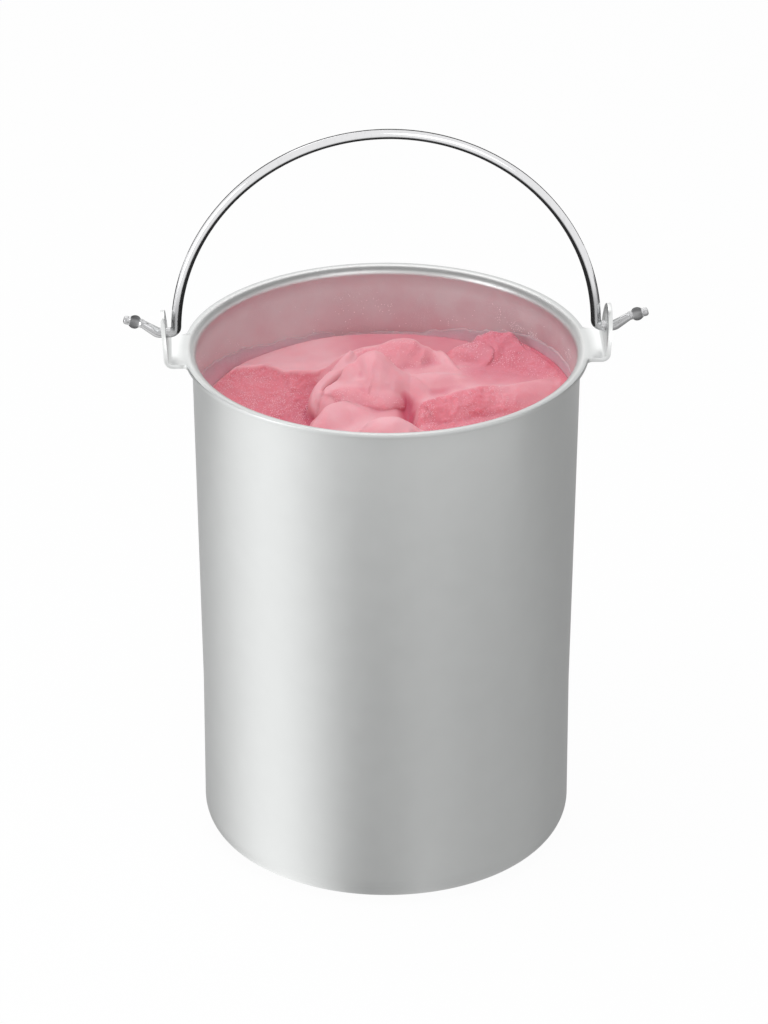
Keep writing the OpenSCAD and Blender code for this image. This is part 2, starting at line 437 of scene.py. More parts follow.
@dataclass(frozen=True)
class FrostedLining:
    """The bowl's lining: the same metal, dulled by frost and a thin smear of ice cream."""

    name: str = "frosted_lining"
    metal: tuple = (0.68, 0.675, 0.67)
    bright: tuple = (0.62, 0.62, 0.615)
    smear: tuple = (0.62, 0.475, 0.50)
    crystal: tuple = (0.85, 0.78, 0.79)
    rim_z: float = 0.1954

    def build(self, effects: Effects) -> bpy.types.Material:
        """Builds the lining's material, with more smear the deeper it lies, more of it towards +X as painted
        shade on that side, and a band just under the rim painted in a glossier grey as a painted sheen.

        Args:
            effects: The shared node groups.

        Returns:
            The material.
        """
        material, graph, shader = new_material(self.name)
        grain = effects.place(graph, effects.grain, Size=1300.0, Contrast=1.3)
        frost = effects.place(graph, effects.frost, Size=1500.0, Cover=0.47)
        place = graph.add("ShaderNodeTexCoord").outputs["Object"]
        axes = graph.add("ShaderNodeSeparateXYZ", {0: place})
        depth = axes.outputs["Z"]
        # Painted sheen: a band just under the rim gets its own grey and is made more metallic and glossier,
        # standing in for the light on the shoulder.
        painted_sheen = graph.ramp(depth, self.rim_z - 0.008, self.rim_z - 0.003)
        clouds = graph.add(
            "ShaderNodeTexNoise", {"Vector": place, "Scale": 55.0, "Detail": 5.0, "Roughness": 0.6}
        )
        cloudy = graph.ramp(clouds.outputs[0], 0.35, 0.7, -0.009, 0.009)
        level = graph.ramp(graph.math("ADD", depth, cloudy), self.rim_z - 0.006, self.rim_z - 0.030)
        # Painted shade: the smear grows towards +X so that the right side of the lining reads darker.
        level = graph.math("MULTIPLY", level, graph.ramp(axes.outputs["X"], -0.03, 0.045, 0.72, 1.15))
        smear = graph.math("MULTIPLY", level, graph.ramp(grain.outputs["Mask"], 0.1, 0.9, 0.55, 1.0))
        bare = graph.mix(painted_sheen, rgba(*self.metal), rgba(*self.bright))
        base = graph.mix(smear, bare, rgba(*self.smear))
        speck = graph.math("MULTIPLY", frost.outputs["Mask"], graph.math("MULTIPLY", level, 0.35))
        base = graph.mix(speck, base, rgba(*self.crystal))
        graph.tree.links.new(base, shader.inputs["Base Color"])
        metallic = graph.ramp(smear, 0.0, 1.0, 0.60, 0.72)
        metallic = graph.math("ADD", metallic, graph.math("MULTIPLY", painted_sheen, 0.3))
        graph.tree.links.new(metallic, shader.inputs["Metallic"])
        rough = graph.ramp(smear, 0.0, 1.0, 0.50, 0.45)
        rough = graph.math("SUBTRACT", rough, graph.math("MULTIPLY", painted_sheen, 0.11))
        graph.tree.links.new(rough, shader.inputs["Roughness"])
        bump = graph.add(
            "ShaderNodeBump", {"Strength": 0.25, "Distance": 0.0003, "Height": frost.outputs["Height"]}
        )
        graph.tree.links.new(bump.outputs[0], shader.inputs["Normal"])
        return material


@dataclass(frozen=True)
class BrightWire:
    """Bright drawn stainless steel."""

    name: str = "bright_wire"
    tone: tuple = (0.80, 0.80, 0.81)
    die_mark_and_edge_shade: tuple = (0.07, 0.07, 0.072)
    roughness: float = 0.10

    def build(self, effects: Effects) -> bpy.types.Material:
        """Builds the wire's material, with faint draw lines, dull faces where the dies pinched it, and
        painted shade that darkens the pinched heads towards their edges.

        Args:
            effects: The shared node groups.

        Returns:
            The material.
        """
        material, graph, shader = new_material(self.name)
        grain = effects.place(graph, effects.grain, Size=1800.0, Contrast=0.8)
        marks = effects.place(graph, effects.scratches, Size=1600.0, Stretch=0.05, Amount=0.6)
        base = graph.mix(marks.outputs["Mask"], rgba(*self.tone), rgba(*(c * 0.86 for c in self.tone)))
        pressed_and_edge_shade = graph.add("ShaderNodeAttribute", attribute_name="pressed_and_edge_shade").outputs["Fac"]
        dull = graph.math("MULTIPLY", pressed_and_edge_shade, graph.ramp(grain.outputs["Mask"], 0.3, 0.6, 0.75, 1.0))
        # The near-black tone marks dull die faces and also paints shade along the heads' edges.
        base = graph.mix(dull, base, rgba(*self.die_mark_and_edge_shade))
        graph.tree.links.new(base, shader.inputs["Base Color"])
        rough = graph.ramp(grain.outputs["Mask"], 0.2, 0.8, self.roughness - 0.03, self.roughness + 0.05)
        rough = graph.math("ADD", rough, graph.math("MULTIPLY", pressed_and_edge_shade, 0.25))
        rough = graph.math("ADD", rough, graph.math("MULTIPLY", marks.outputs["Mask"], 0.06))
        graph.tree.links.new(rough, shader.inputs["Roughness"])
        shader.inputs["Metallic"].default_value = 1.0
        bump = graph.add(
            "ShaderNodeBump", {"Strength": 0.04, "Distance": 0.0001, "Height": grain.outputs["Height"]}
        )
        graph.tree.links.new(bump.outputs[0], shader.inputs["Normal"])
        return material


@dataclass(frozen=True)
class ChurnedIce:
    """Pink ice cream: pale and smooth where it was drawn over, rosy and icy where it was cut."""

    name: str = "churned_ice"
    pale: tuple = (0.76, 0.39, 0.43)
    rosy: tuple = (0.68, 0.15, 0.20)
    deepest: tuple = (0.52, 0.10, 0.16)
    crystal: tuple = (0.95, 0.70, 0.75)
    scatter: tuple = (1.0, 0.32, 0.38)

    def build(self, effects: Effects) -> bpy.types.Material:
        """Builds the material, led by the grain values stored on the mesh and by the hollow values, which
        paint shade into creases and hollows.

        Args:
            effects: The shared node groups.

        Returns:
            The material.
        """
        material, graph, shader = new_material(self.name)
        grainy = graph.add("ShaderNodeAttribute", attribute_name="grain").outputs["Fac"]
        hollow = graph.add("ShaderNodeAttribute", attribute_name="hollow").outputs["Fac"]
        grain = effects.place(graph, effects.grain, Size=2200.0, Contrast=1.6)
        frost = effects.place(graph, effects.frost, Size=1300.0, Cover=0.55)
        # Painted shade: the hollow values push creases and hollows towards rosy, and the deepest ones towards
        # the darkest tone.
        deep = graph.math("MAXIMUM", graph.math("MULTIPLY", grainy, 0.75), hollow)
        deep = graph.math("ADD", deep, graph.ramp(grain.outputs["Mask"], 0.2, 0.8, -0.10, 0.10))
        base = graph.mix(graph.ramp(deep, 0.0, 1.0), rgba(*self.pale), rgba(*self.rosy))
        base = graph.mix(graph.ramp(hollow, 0.15, 0.85, 0.0, 0.8), base, rgba(*self.deepest))
        icy = graph.math("MULTIPLY", frost.outputs["Mask"], graph.math("MULTIPLY", grainy, 0.30))
        base = graph.mix(icy, base, rgba(*self.crystal))
        graph.tree.links.new(base, shader.inputs["Base Color"])
        rough = graph.ramp(grainy, 0.0, 1.0, 0.42, 0.58)
        graph.tree.links.new(rough, shader.inputs["Roughness"])
        shader.inputs["Subsurface Weight"].default_value = 0.55
        shader.inputs["Subsurface Radius"].default_value = self.scatter
        shader.inputs["Subsurface Scale"].default_value = 0.0026
        shader.inputs["Specular IOR Level"].default_value = 0.35
        height = graph.math("MULTIPLY", grain.outputs["Height"], graph.ramp(grainy, 0.0, 1.0, 0.12, 1.0))
        bump = graph.add("ShaderNodeBump", {"Strength": 0.55, "Distance": 0.0005, "Height": height})
        graph.tree.links.new(bump.outputs[0], shader.inputs["Normal"])
        return material


@dataclass(frozen=True)
class IceCrystal:
    """Pale frost crystals and crumbs."""

    name: str = "ice_crystal"
    tone: tuple = (0.84, 0.47, 0.53)
    scatter: tuple = (1.0, 0.5, 0.55)

    def build(self, effects: Effects) -> bpy.types.Material:
        """Builds the crystals' material.

        Args:
            effects: The shared node groups.

        Returns:
            The material.
        """
        material, graph, shader = new_material(self.name)
        grain = effects.place(graph, effects.grain, Size=3000.0, Contrast=1.5)
        light = rgba(*(min(1.0, c * 1.12) for c in self.tone))
        base = graph.mix(grain.outputs["Mask"], rgba(*self.tone), light)
        graph.tree.links.new(base, shader.inputs["Base Color"])
        shader.inputs["Roughness"].default_value = 0.35
        shader.inputs["Subsurface Weight"].default_value = 0.4
        shader.inputs["Subsurface Radius"].default_value = self.scatter
        shader.inputs["Subsurface Scale"].default_value = 0.001
        return material


@dataclass(frozen=True)
class PaleFloor:
    """A plain white floor that keeps a soft shadow."""

    name: str = "pale_floor"
    glow: float = 0.96

    def build(self, effects: Effects) -> bpy.types.Material:
        """Builds the floor, which looks white to the eye and in metal.

        Args:
            effects: The shared node groups.

        Returns:
            The material.
        """
        material, graph, shader = new_material(self.name)
        grain = effects.place(graph, effects.grain, Size=300.0, Contrast=0.3)
        base = graph.mix(grain.outputs["Mask"], rgba(0.80, 0.80, 0.80), rgba(0.82, 0.82, 0.82))
        graph.tree.links.new(base, shader.inputs["Base Color"])
        shader.inputs["Roughness"].default_value = 0.8
        shader.inputs["Specular IOR Level"].default_value = 0.1
        white = graph.add("ShaderNodeEmission", {"Color": rgba(1.0, 1.0, 1.0), "Strength": 1.0})
        seen = seen_directly(graph)
        blend = graph.add("ShaderNodeMixShader", {0: graph.math("MULTIPLY", seen, self.glow)})
        graph.tree.links.new(shader.outputs[0], blend.inputs[1])
        graph.tree.links.new(white.outputs[0], blend.inputs[2])
        output = next(n for n in graph.tree.nodes if n.type == "OUTPUT_MATERIAL")
        graph.tree.links.new(blend.outputs[0], output.inputs[0])
        return material


def seen_directly(graph: Graph) -> bpy.types.NodeSocket:
    """Tells what the camera sees straight, in a gloss or through glass from what only lights the part.

    Args:
        graph: The graph that asks.

    Returns:
        Output that is 1 for what is seen so.
    """
    path = graph.add("ShaderNodeLightPath")
    either = graph.math("MAXIMUM", path.outputs["Is Camera Ray"], path.outputs["Is Glossy Ray"])
    return graph.math("MAXIMUM", either, path.outputs["Is Transmission Ray"])


# ---------------------------------------------------------------- the bowl


@dataclass
class DrawnBowl:
    """The drawn sheet: base, wall, rounded shoulder, flange and two folded ears.

    Attributes:
        height: Height of the flange's top.
        flange_r: Outer radius of the flange.
        sheet: Thickness of the sheet.
        wall_r: Outer radius of the wall just below the flange.
        base_r: Outer radius of the straight lower wall.
        straight_h: Height of the straight lower wall.
        corner_r: Outer radius of the corner between wall and base.
        shoulder_r: Radius of the rounded shoulder inside the mouth.
        ear_half: Half the width of an ear.
        ear_x: Distance from the axis to the middle of an ear's plate at its hole.
        ear_lean: Outward lean of an ear's plate in degrees.
        fold_r: Inner radius of the fold between tab and plate.
        fillet_r: Fillet radius where the tab leaves the flange.
        hole_rise: Height of the holes over the flange.
        hole_r: Radius of the holes.
        edge_round: Rounding of the sheet's edges.
    """

    height: float
    flange_r: float
    sheet: float = 1.5
    wall_r: float = 70.5
    base_r: float = 68.2
    straight_h: float = 60.0
    corner_r: float = 11.0
    shoulder_r: float = 3.0
    ear_half: float = 13.0
    ear_x: float = 80.3
    ear_lean: float = 5.0
    fold_r: float = 1.6
    fillet_r: float = 2.0
    hole_rise: float = 6.9
    hole_r: float = 2.05
    edge_round: float = 0.16

    EAR_STEPS = 48
    LEFT_EAR = 100
    FILLET_STEPS = 8
    FLANGE_STEPS = 132
    WALL_RINGS = (20, 35, 50, 60, 80, 100, 120, 140, 160, 175, 185)

    @property
    def wall_top(self) -> float:
        """Height at which the wall ends and the shoulder begins."""
        return self.height - self.shoulder_r

    @property
    def shoulder_x(self) -> float:
        """Radius of the ring round which the shoulder turns."""
        return self.wall_r - self.sheet + self.shoulder_r

    @property
    def fold_x(self) -> float:
        """Distance from the axis to the centre of the fold, where the leaning plate meets ear_x.

        Returns:
            The distance in millimetres.
        """
        tilt = math.radians(self.ear_lean)
        middle_r = self.fold_r + self.sheet / 2
        run = (self.hole_rise - self.fold_r + middle_r * math.sin(tilt)) / math.cos(tilt)
        return self.ear_x - middle_r * math.cos(tilt) - run * math.sin(tilt)

    def wall_at(self, z: np.ndarray) -> np.ndarray:
        """Outer radius of the wall at a height."""
        rise = np.clip((np.asarray(z, float) - self.straight_h) / (self.wall_top - self.straight_h), 0, 1)
        return self.base_r + (self.wall_r - self.base_r) * rise

    def _profile(self, inset: float) -> list:
        """Outline of one face of the sheet, from the base's middle up to the flange.

        Args:
            inset: Distance of that face from the outer one.

        Returns:
            Radius and height of each point.
        """
        rows = [(20.0, inset), (40.0, inset)]
        corner_x = self.base_r - self.corner_r
        turn = self.corner_r - inset
        for a in np.radians(np.linspace(0, 90, 15)):
            rows.append((corner_x + turn * math.sin(a), self.corner_r - turn * math.cos(a)))
        for z in self.WALL_RINGS:
            rows.append((float(self.wall_at(z)) - inset, z))
        bend = self.shoulder_r - (self.sheet - inset)
        for a in np.radians(np.linspace(0, 90, 13)):
            rows.append((self.shoulder_x - bend * math.cos(a), self.wall_top + bend * math.sin(a)))
        return rows

    def _columns(self) -> list:
        """Outline of the level part of the sheet, once round.

        Returns:
            x and y of each point, and its place across an ear or None.
        """
        reach = self.flange_r + self.fillet_r
        cy = self.ear_half + self.fillet_r
        cx = math.sqrt(reach**2 - cy**2)
        turns = [math.atan2(cx, cy) * j / self.FILLET_STEPS for j in range(1, self.FILLET_STEPS + 1)]
        fillet = [(cx - self.fillet_r * math.sin(a), cy - self.fillet_r * math.cos(a)) for a in turns]
        half = [(x, -y, None) for x, y in reversed(fillet)]
        half += [(cx, y, k) for k, y in enumerate(self.ear_half * np.sin(self._ear_turns()))]
        half += [(x, y, None) for x, y in fillet]
        start = math.asin(cy / reach)
        for a in np.linspace(start, math.pi - start, self.FLANGE_STEPS)[1:-1]:
            half.append((self.flange_r * math.cos(a), self.flange_r * math.sin(a), None))
        return half + [(-x, -y, None if k is None else self.LEFT_EAR + k) for x, y, k in half]

    def _ear_turns(self) -> np.ndarray:
        """Angles of the points across an ear's round outline, from one side to the other."""
        return np.radians(np.linspace(-90, 90, self.EAR_STEPS + 1))

    def _ear(self, points: list, faces: list, ends: list, turn: float) -> None:
        """Adds an ear beyond the level tab.

        Args:
            points: Points of the sheet so far, which grow.
            faces: Faces of the sheet so far, which grow.
            ends: Index pairs (top, underside) of the tab's outer ends, from one side to the other.
            turn: 1 for the +X ear and -1 for the -X ear.
        """
        fold_z = self.height + self.fold_r
        hole_z = self.height + self.hole_rise
        tilt = math.radians(self.ear_lean)
        across = self.ear_half * np.sin(self._ear_turns())
        rise = self.ear_half * np.cos(self._ear_turns())
        last = self.EAR_STEPS

        def put(x: float, y: float, z: float) -> int:
            """Adds a point of the +X ear, turned to where the ear is, and gives its index."""
            points.append((turn * x, turn * y, z))
            return len(points) - 1

        loops = []
        grids = []
        for side, radius in enumerate((self.fold_r, self.fold_r + self.sheet)):
            rows = [[pair[side] for pair in ends]]
            for a in np.linspace(-math.pi / 2, -tilt, 11):
                x, z = self.fold_x + radius * math.cos(a), fold_z + radius * math.sin(a)
                rows.append([put(x, y, z) for y in across])
            face_x = self.fold_x + radius / math.cos(tilt)

            def on_face(y: float, z: float, face_x: float = face_x) -> int:
                """Adds a point of the leaning plate and gives its index."""
                return put(face_x + (z - fold_z) * math.tan(tilt), y, z)

            arch = [on_face(across[k], fold_z + rise[k]) for k in range(last - 1, 0, -1)]
            ring = [
                on_face(self.hole_r * math.cos(a), hole_z + self.hole_r * math.sin(a))
                for a in np.linspace(0, 2 * math.pi, last, endpoint=False)
            ]
            grids.append(rows)
            loops.append((rows[-1] + arch, ring))
        for side, rows in enumerate(grids):
            for low, high in zip(rows, rows[1:]):
                for k in range(last):
                    quad = (low[k], high[k], high[k + 1], low[k + 1])
                    faces.append(quad if side == 0 else quad[::-1])
            faces += self._zip(points, *loops[side], hole_z, flip=side == 1, turn=turn)
        top, under = grids
        for i in range(len(top) - 1):
            faces.append((top[i][0], under[i][0], under[i + 1][0], top[i + 1][0]))
            faces.append((top[i + 1][-1], under[i + 1][-1], under[i][-1], top[i][-1]))
        inner = [top[-1][-1]] + loops[0][0][last + 1 :] + [top[-1][0]]
        outer = [under[-1][-1]] + loops[1][0][last + 1 :] + [under[-1][0]]
        for a, b, c, d in zip(inner, inner[1:], outer[1:], outer):
            faces.append((b, c, d, a))
        for k in range(last):
            n = (k + 1) % last
            faces.append((loops[0][1][k], loops[1][1][k], loops[1][1][n], loops[0][1][n]))

    @staticmethod
    def _zip(points: list, outer: list, ring: list, hole_z: float, flip: bool, turn: float) -> list:
        """Fills a flat plate between its outline and its hole with triangles.

        Args:
            points: Points of the sheet.
            outer: Indices of the plate's outline.
            ring: Indices of its hole.
            hole_z: Height of the hole's middle.
            flip: Whether the triangles face the other way.
            turn: 1 for the +X ear and -1 for the -X ear.

        Returns:
            The triangles.
        """

        def bearing(index: int) -> float:
            """Angle of a point as seen from the hole's middle."""
            return math.atan2(points[index][2] - hole_z, turn * points[index][1]) % (2 * math.pi)

        outer = sorted(outer, key=bearing)
        faces = []
        i = j = 0
        while i < len(outer) or j < len(ring):
            next_out = bearing(outer[i + 1]) if i + 1 < len(outer) else 2 * math.pi + bearing(outer[0])
            next_ring = 2 * math.pi * (j + 1) / len(ring)
            a, b = outer[i % len(outer)], ring[j % len(ring)]
            if j >= len(ring) or (i < len(outer) and next_out <= next_ring + 1e-9):
                faces.append((a, outer[(i + 1) % len(outer)], b))
                i += 1
            else:
                faces.append((a, ring[(j + 1) % len(ring)], b))
                j += 1
        return [f if flip else f[::-1] for f in faces]

    def build(self) -> bpy.types.Object:
        """Builds the sheet as one closed mesh with slightly rounded edges.

        Returns:
            The bowl, with material index 1 on its lining.
        """
        lining = self._profile(self.sheet)
        skin = self._profile(0.0)
        columns = self._columns()
        points: list = [(0, 0, self.sheet), (0, 0, 0)]
        faces: list = []
        stacks = []
        for x, y, _ in columns:
            angle = math.atan2(y, x)
            stack = []
            for profile, z in ((lining, self.height), (skin, self.height - self.sheet)):
                start = len(points)
                points += [(r * math.cos(angle), r * math.sin(angle), h) for r, h in profile]
                points.append((x, y, z))
                stack.append(list(range(start, len(points))))
            stacks.append(stack)
        count = len(stacks)
        for c in range(count):
            (top, under), (top2, under2) = stacks[c], stacks[(c + 1) % count]
            faces.append((0, top[0], top2[0]))
            faces += [(top[i], top[i + 1], top2[i + 1], top2[i]) for i in range(len(lining) - 1)]
        lining_faces = len(faces)
        for c in range(count):
            (top, under), (top2, under2) = stacks[c], stacks[(c + 1) % count]
            faces.append((top[-2], top[-1], top2[-1], top2[-2]))
            faces.append((1, under2[0], under[0]))
            faces += [(under[i], under2[i], under2[i + 1], under[i + 1]) for i in range(len(skin))]
            on_ear = columns[c][2] is not None and columns[(c + 1) % count][2] is not None
            if not on_ear:
                faces.append((top[-1], under[-1], under2[-1], top2[-1]))
        for turn, first in ((1, 0), (-1, self.LEFT_EAR)):
            ends = [
                (stacks[c][0][-1], stacks[c][1][-1])
                for c in range(count)
                if columns[c][2] is not None and first <= columns[c][2] <= first + self.EAR_STEPS
            ]
            self._ear(points, faces, ends, turn)
        piece = make_piece("bowl_sheet", np.array(points), faces)
        piece.data.polygons.foreach_set(
            "material_index", [1 if i < lining_faces else 0 for i in range(len(faces))]
        )
        edge = piece.modifiers.new("edge_round", "BEVEL")
        edge.width = self.edge_round * MM
        edge.segments = 2
        edge.limit_method = "ANGLE"
        edge.angle_limit = math.radians(50)
        settle(piece)
        piece.data.set_sharp_from_angle(angle=math.radians(42))
        return piece


# ---------------------------------------------------------------- the bail


@dataclass
class WireBail:
    """The bent wire: an arch, elbows through the ears, tails and pinched heads.

    Attributes:
        wire_r: Radius of the wire.
        arch_r: Radius of the arch at the wire's middle.
        arch_lift: Height of the arch's centre over the holes.
        elbow_r: Bend radius between the arch and the run through an ear.
        tail_x: Distance from the axis to where the wire turns up outside an ear.
        tail_bend_r: Radius of that bend.
        tail_angle: Upward bend of the tail in degrees.
        tail_length: Length of the tail from its bend to the head.
        neck_r: Radius of the wire where it meets the head.
        head_angle: Slope of the head in degrees.
        sides: Faces round the wire.
    """

    wire_r: float = 1.85
    arch_r: float = 76.0
    arch_lift: float = 0.5
    elbow_r: float = 2.4
    tail_x: float = 81.8
    tail_bend_r: float = 3.0
    tail_angle: float = 34.0
    tail_length: float = 6.0
    neck_r: float = 1.45
    head_angle: float = 14.0
    sides: int = 40

    def arch(self, hole_z: float, start: float = 25.0) -> list:
        """Middle line of the arch's upper part.

        Args:
            hole_z: Height of the holes that the bail swings in.
            start: Height over the holes at which that part starts.

        Returns:
            x and z in metres of each point, from the left to the right.
        """
        half = [(x * MM, z * MM) for x, z, _, _ in self._half(hole_z) if z > hole_z + start]
        return [(-x, z) for x, z in half[:0:-1]] + half

    def _head(self) -> list:
        """Stations of a pinched head and its nub.

        Returns:
            Distance from the neck, half width in the bail's plane and half thickness of each.
        """
        return [
            (-0.15, 1.45, 1.45),
            (0.0, 1.62, 1.60),
            (0.25, 1.66, 1.62),
            (0.5, 1.58, 1.50),
            (0.8, 1.78, 1.22),
            (1.1, 2.12, 1.00),
            (1.5, 2.45, 0.89),
            (2.0, 2.64, 0.85),
            (2.6, 2.68, 0.84),
            (3.2, 2.60, 0.86),
            (3.7, 2.36, 0.94),
            (4.2, 2.00, 1.10),
            (4.6, 1.66, 1.34),
            (4.85, 1.50, 1.45),
            (5.2, 1.56, 1.50),
            (5.9, 1.54, 1.50),
            (6.3, 1.44, 1.40),
            (6.55, 1.20, 1.16),
            (6.66, 0.80, 0.78),
            (6.7, 0.30, 0.30),
        ]

    def _half(self, hole_z: float) -> list:
        """Stations of the wire from the crown to the +X nub.

        Args:
            hole_z: Height of the holes that it swings in.

        Returns:
            x, z, half width and half thickness of each.
        """
        wire = self.wire_r
        start = math.asin((self.elbow_r - self.arch_lift) / (self.arch_r + self.elbow_r))
        arch_z = hole_z + self.arch_lift
        rows = [
            (self.arch_r * math.cos(a), arch_z + self.arch_r * math.sin(a), wire, wire)
            for a in np.linspace(math.pi / 2, start, 90)
        ]
        elbow_x = (self.arch_r + self.elbow_r) * math.cos(start)
        for a in np.linspace(math.pi + start, 1.5 * math.pi, 13)[1:]:
            rows.append(
                (elbow_x + self.elbow_r * math.cos(a), hole_z + self.elbow_r * (1 + math.sin(a)), wire, wire)
            )
        rows.append((0.5 * (elbow_x + self.tail_x), hole_z, wire, wire))
        for a in np.radians(np.linspace(0, self.tail_angle, 9)):
            rows.append(
                (
                    self.tail_x + self.tail_bend_r * math.sin(a),
                    hole_z + self.tail_bend_r * (1 - math.cos(a)),
                    wire,
                    wire,
                )
            )
        tail = math.radians(self.tail_angle)
        x0, z0 = rows[-1][0], rows[-1][1]
        for s in np.linspace(0, self.tail_length - 0.2, 6)[1:]:
            r = wire + (self.neck_r - wire) * s / self.tail_length
            rows.append((x0 + s * math.cos(tail), z0 + s * math.sin(tail), r, r))
        x0, z0 = x0 + self.tail_length * math.cos(tail), z0 + self.tail_length * math.sin(tail)
        head = math.radians(self.head_angle)
        rows += [(x0 + s * math.cos(head), z0 + s * math.sin(head), w, t) for s, w, t in self._head()]
        return rows

    @staticmethod
    def _sweep_tree(material: bpy.types.Material) -> bpy.types.NodeTree:
        """Node tree that sweeps a wire along a path and gives it the width and thickness stored there.

        Args:
            material: Finish of the wire.

        Returns:
            The tree, with the inputs Path and Sides.
        """
        tree = bpy.data.node_groups.new("wire_sweep", "GeometryNodeTree")
        graph = Graph(tree)
        tree.interface.new_socket(name="Path", in_out="INPUT", socket_type="NodeSocketGeometry")
        sides = tree.interface.new_socket(name="Sides", in_out="INPUT", socket_type="NodeSocketInt")
        sides.default_value = 32
        tree.interface.new_socket(name="Wire", in_out="OUTPUT", socket_type="NodeSocketGeometry")
        start = graph.add("NodeGroupInput")
        end = graph.add("NodeGroupOutput")
        place = graph.add("GeometryNodeInputPosition")
        keep = graph.add(
            "GeometryNodeStoreNamedAttribute",
            {"Geometry": start.outputs["Path"], "Name": "middle", "Value": place.outputs[0]},
            data_type="FLOAT_VECTOR",
            domain="POINT",
        )
        curve = graph.add("GeometryNodeMeshToCurve", {"Mesh": keep.outputs[0]})
        circle = graph.add(
            "GeometryNodeCurvePrimitiveCircle", {"Resolution": start.outputs["Sides"], "Radius": MM}
        )
        tube = graph.add(
            "GeometryNodeCurveToMesh",
            {"Curve": curve.outputs[0], "Profile Curve": circle.outputs["Curve"], "Fill Caps": True},
        )
        middle = graph.add("GeometryNodeInputNamedAttribute", {"Name": "middle"}, data_type="FLOAT_VECTOR")
        width = graph.add("GeometryNodeInputNamedAttribute", {"Name": "half_width"}, data_type="FLOAT")
        thick = graph.add("GeometryNodeInputNamedAttribute", {"Name": "half_thickness"}, data_type="FLOAT")
        here = graph.add("GeometryNodeInputPosition")
        scale = graph.add(
            "ShaderNodeCombineXYZ", {"X": width.outputs[0], "Y": thick.outputs[0], "Z": width.outputs[0]}
        )
        away = graph.vector("SUBTRACT", here.outputs[0], middle.outputs[0])
        there = graph.vector("ADD", middle.outputs[0], graph.vector("MULTIPLY", away, scale.outputs[0]))
        moved = graph.add("GeometryNodeSetPosition", {"Geometry": tube.outputs[0], "Position": there})
        whole = graph.add("GeometryNodeRealizeInstances", {0: moved.outputs[0]})
        dressed = graph.add("GeometryNodeSetMaterial", {"Geometry": whole.outputs[0], "Material": material})
        tree.links.new(dressed.outputs[0], end.inputs[0])
        return tree

    def build(self, hole_z: float, material: bpy.types.Material) -> bpy.types.Object:
        """Builds the bail.

        Args:
            hole_z: Height of the holes that it swings in, in millimetres.
            material: Finish of the wire.

        Returns:
            The bail as a closed mesh.
        """
        half = self._half(hole_z)
        rows = [(-x, z, w, t) for x, z, w, t in reversed(half[1:])] + half
        path = np.array([(x, 0.0, z) for x, z, _, _ in rows])
        mesh = bpy.data.meshes.new("bail_wire")
        mesh.from_pydata((path * MM).tolist(), [(i, i + 1) for i in range(len(rows) - 1)], [])
        piece = bpy.data.objects.new("bail_wire", mesh)
        bpy.context.scene.collection.objects.link(piece)
        put_float(piece, "half_width", np.array([row[2] for row in rows]))
        put_float(piece, "half_thickness", np.array([row[3] for row in rows]))
        sweep = piece.modifiers.new("wire_sweep", "NODES")
        sweep.node_group = self._sweep_tree(material)
        for item in sweep.node_group.interface.items_tree:
            if item.name == "Sides":
                sweep[item.identifier] = self.sides
        settle(piece)
        self._finish_mesh(piece, hole_z)
        return piece

    @staticmethod
    def _finish_mesh(piece: bpy.types.Object, hole_z: float) -> None:
        """Merges the tube's doubles, turns its faces outward, shades it and marks where it was worked, with
        painted shade towards the edges of the pinched heads.

        Args:
            piece: The swept bail.
            hole_z: Height of the holes that it swings in, in millimetres.
        """
        work = bmesh.new()
        work.from_mesh(piece.data)
        bmesh.ops.remove_doubles(work, verts=work.verts, dist=1e-7)
        bmesh.ops.recalc_face_normals(work, faces=work.faces)
        work.to_mesh(piece.data)
        work.free()
        layers = piece.data.attributes
        vertices = piece.data.vertices
        width = np.array([w.value for w in layers["half_width"].data])
        thick = np.array([t.value for t in layers["half_thickness"].data])
        flat = width / thick
        out = np.array([(v.co - m.vector).xz.length for v, m in zip(vertices, layers["middle"].data)])
        out = out / MM / width
        across = np.array([v.co.y for v in vertices]) / MM / thick
        height = np.array([v.co.z for v in vertices]) / MM
        bent = smoothstep(20.0, 8.0, height - hole_z) * smoothstep(1.3, 1.05, flat)
        # Painted shade: the pinched heads darken towards their edges, standing in for dark reflections along
        # their rims; the rest marks dull pinched faces.
        pressed_and_edge_shade = smoothstep(1.15, 1.8, flat) * (0.72 + 0.28 * smoothstep(0.25, 0.75, out))
        pressed_and_edge_shade = np.maximum(pressed_and_edge_shade, bent * (0.30 + 0.28 * np.cos(8.0 * across + 0.6)))
        put_float(piece, "pressed_and_edge_shade", pressed_and_edge_shade)
        for name in ("middle", "half_width", "half_thickness"):
            piece.data.attributes.remove(piece.data.attributes[name])
        piece.data.polygons.foreach_set("use_smooth", [True] * len(piece.data.polygons))
        piece.data.set_sharp_from_angle(angle=math.radians(50))


# ---------------------------------------------------------------- frost and crumbs


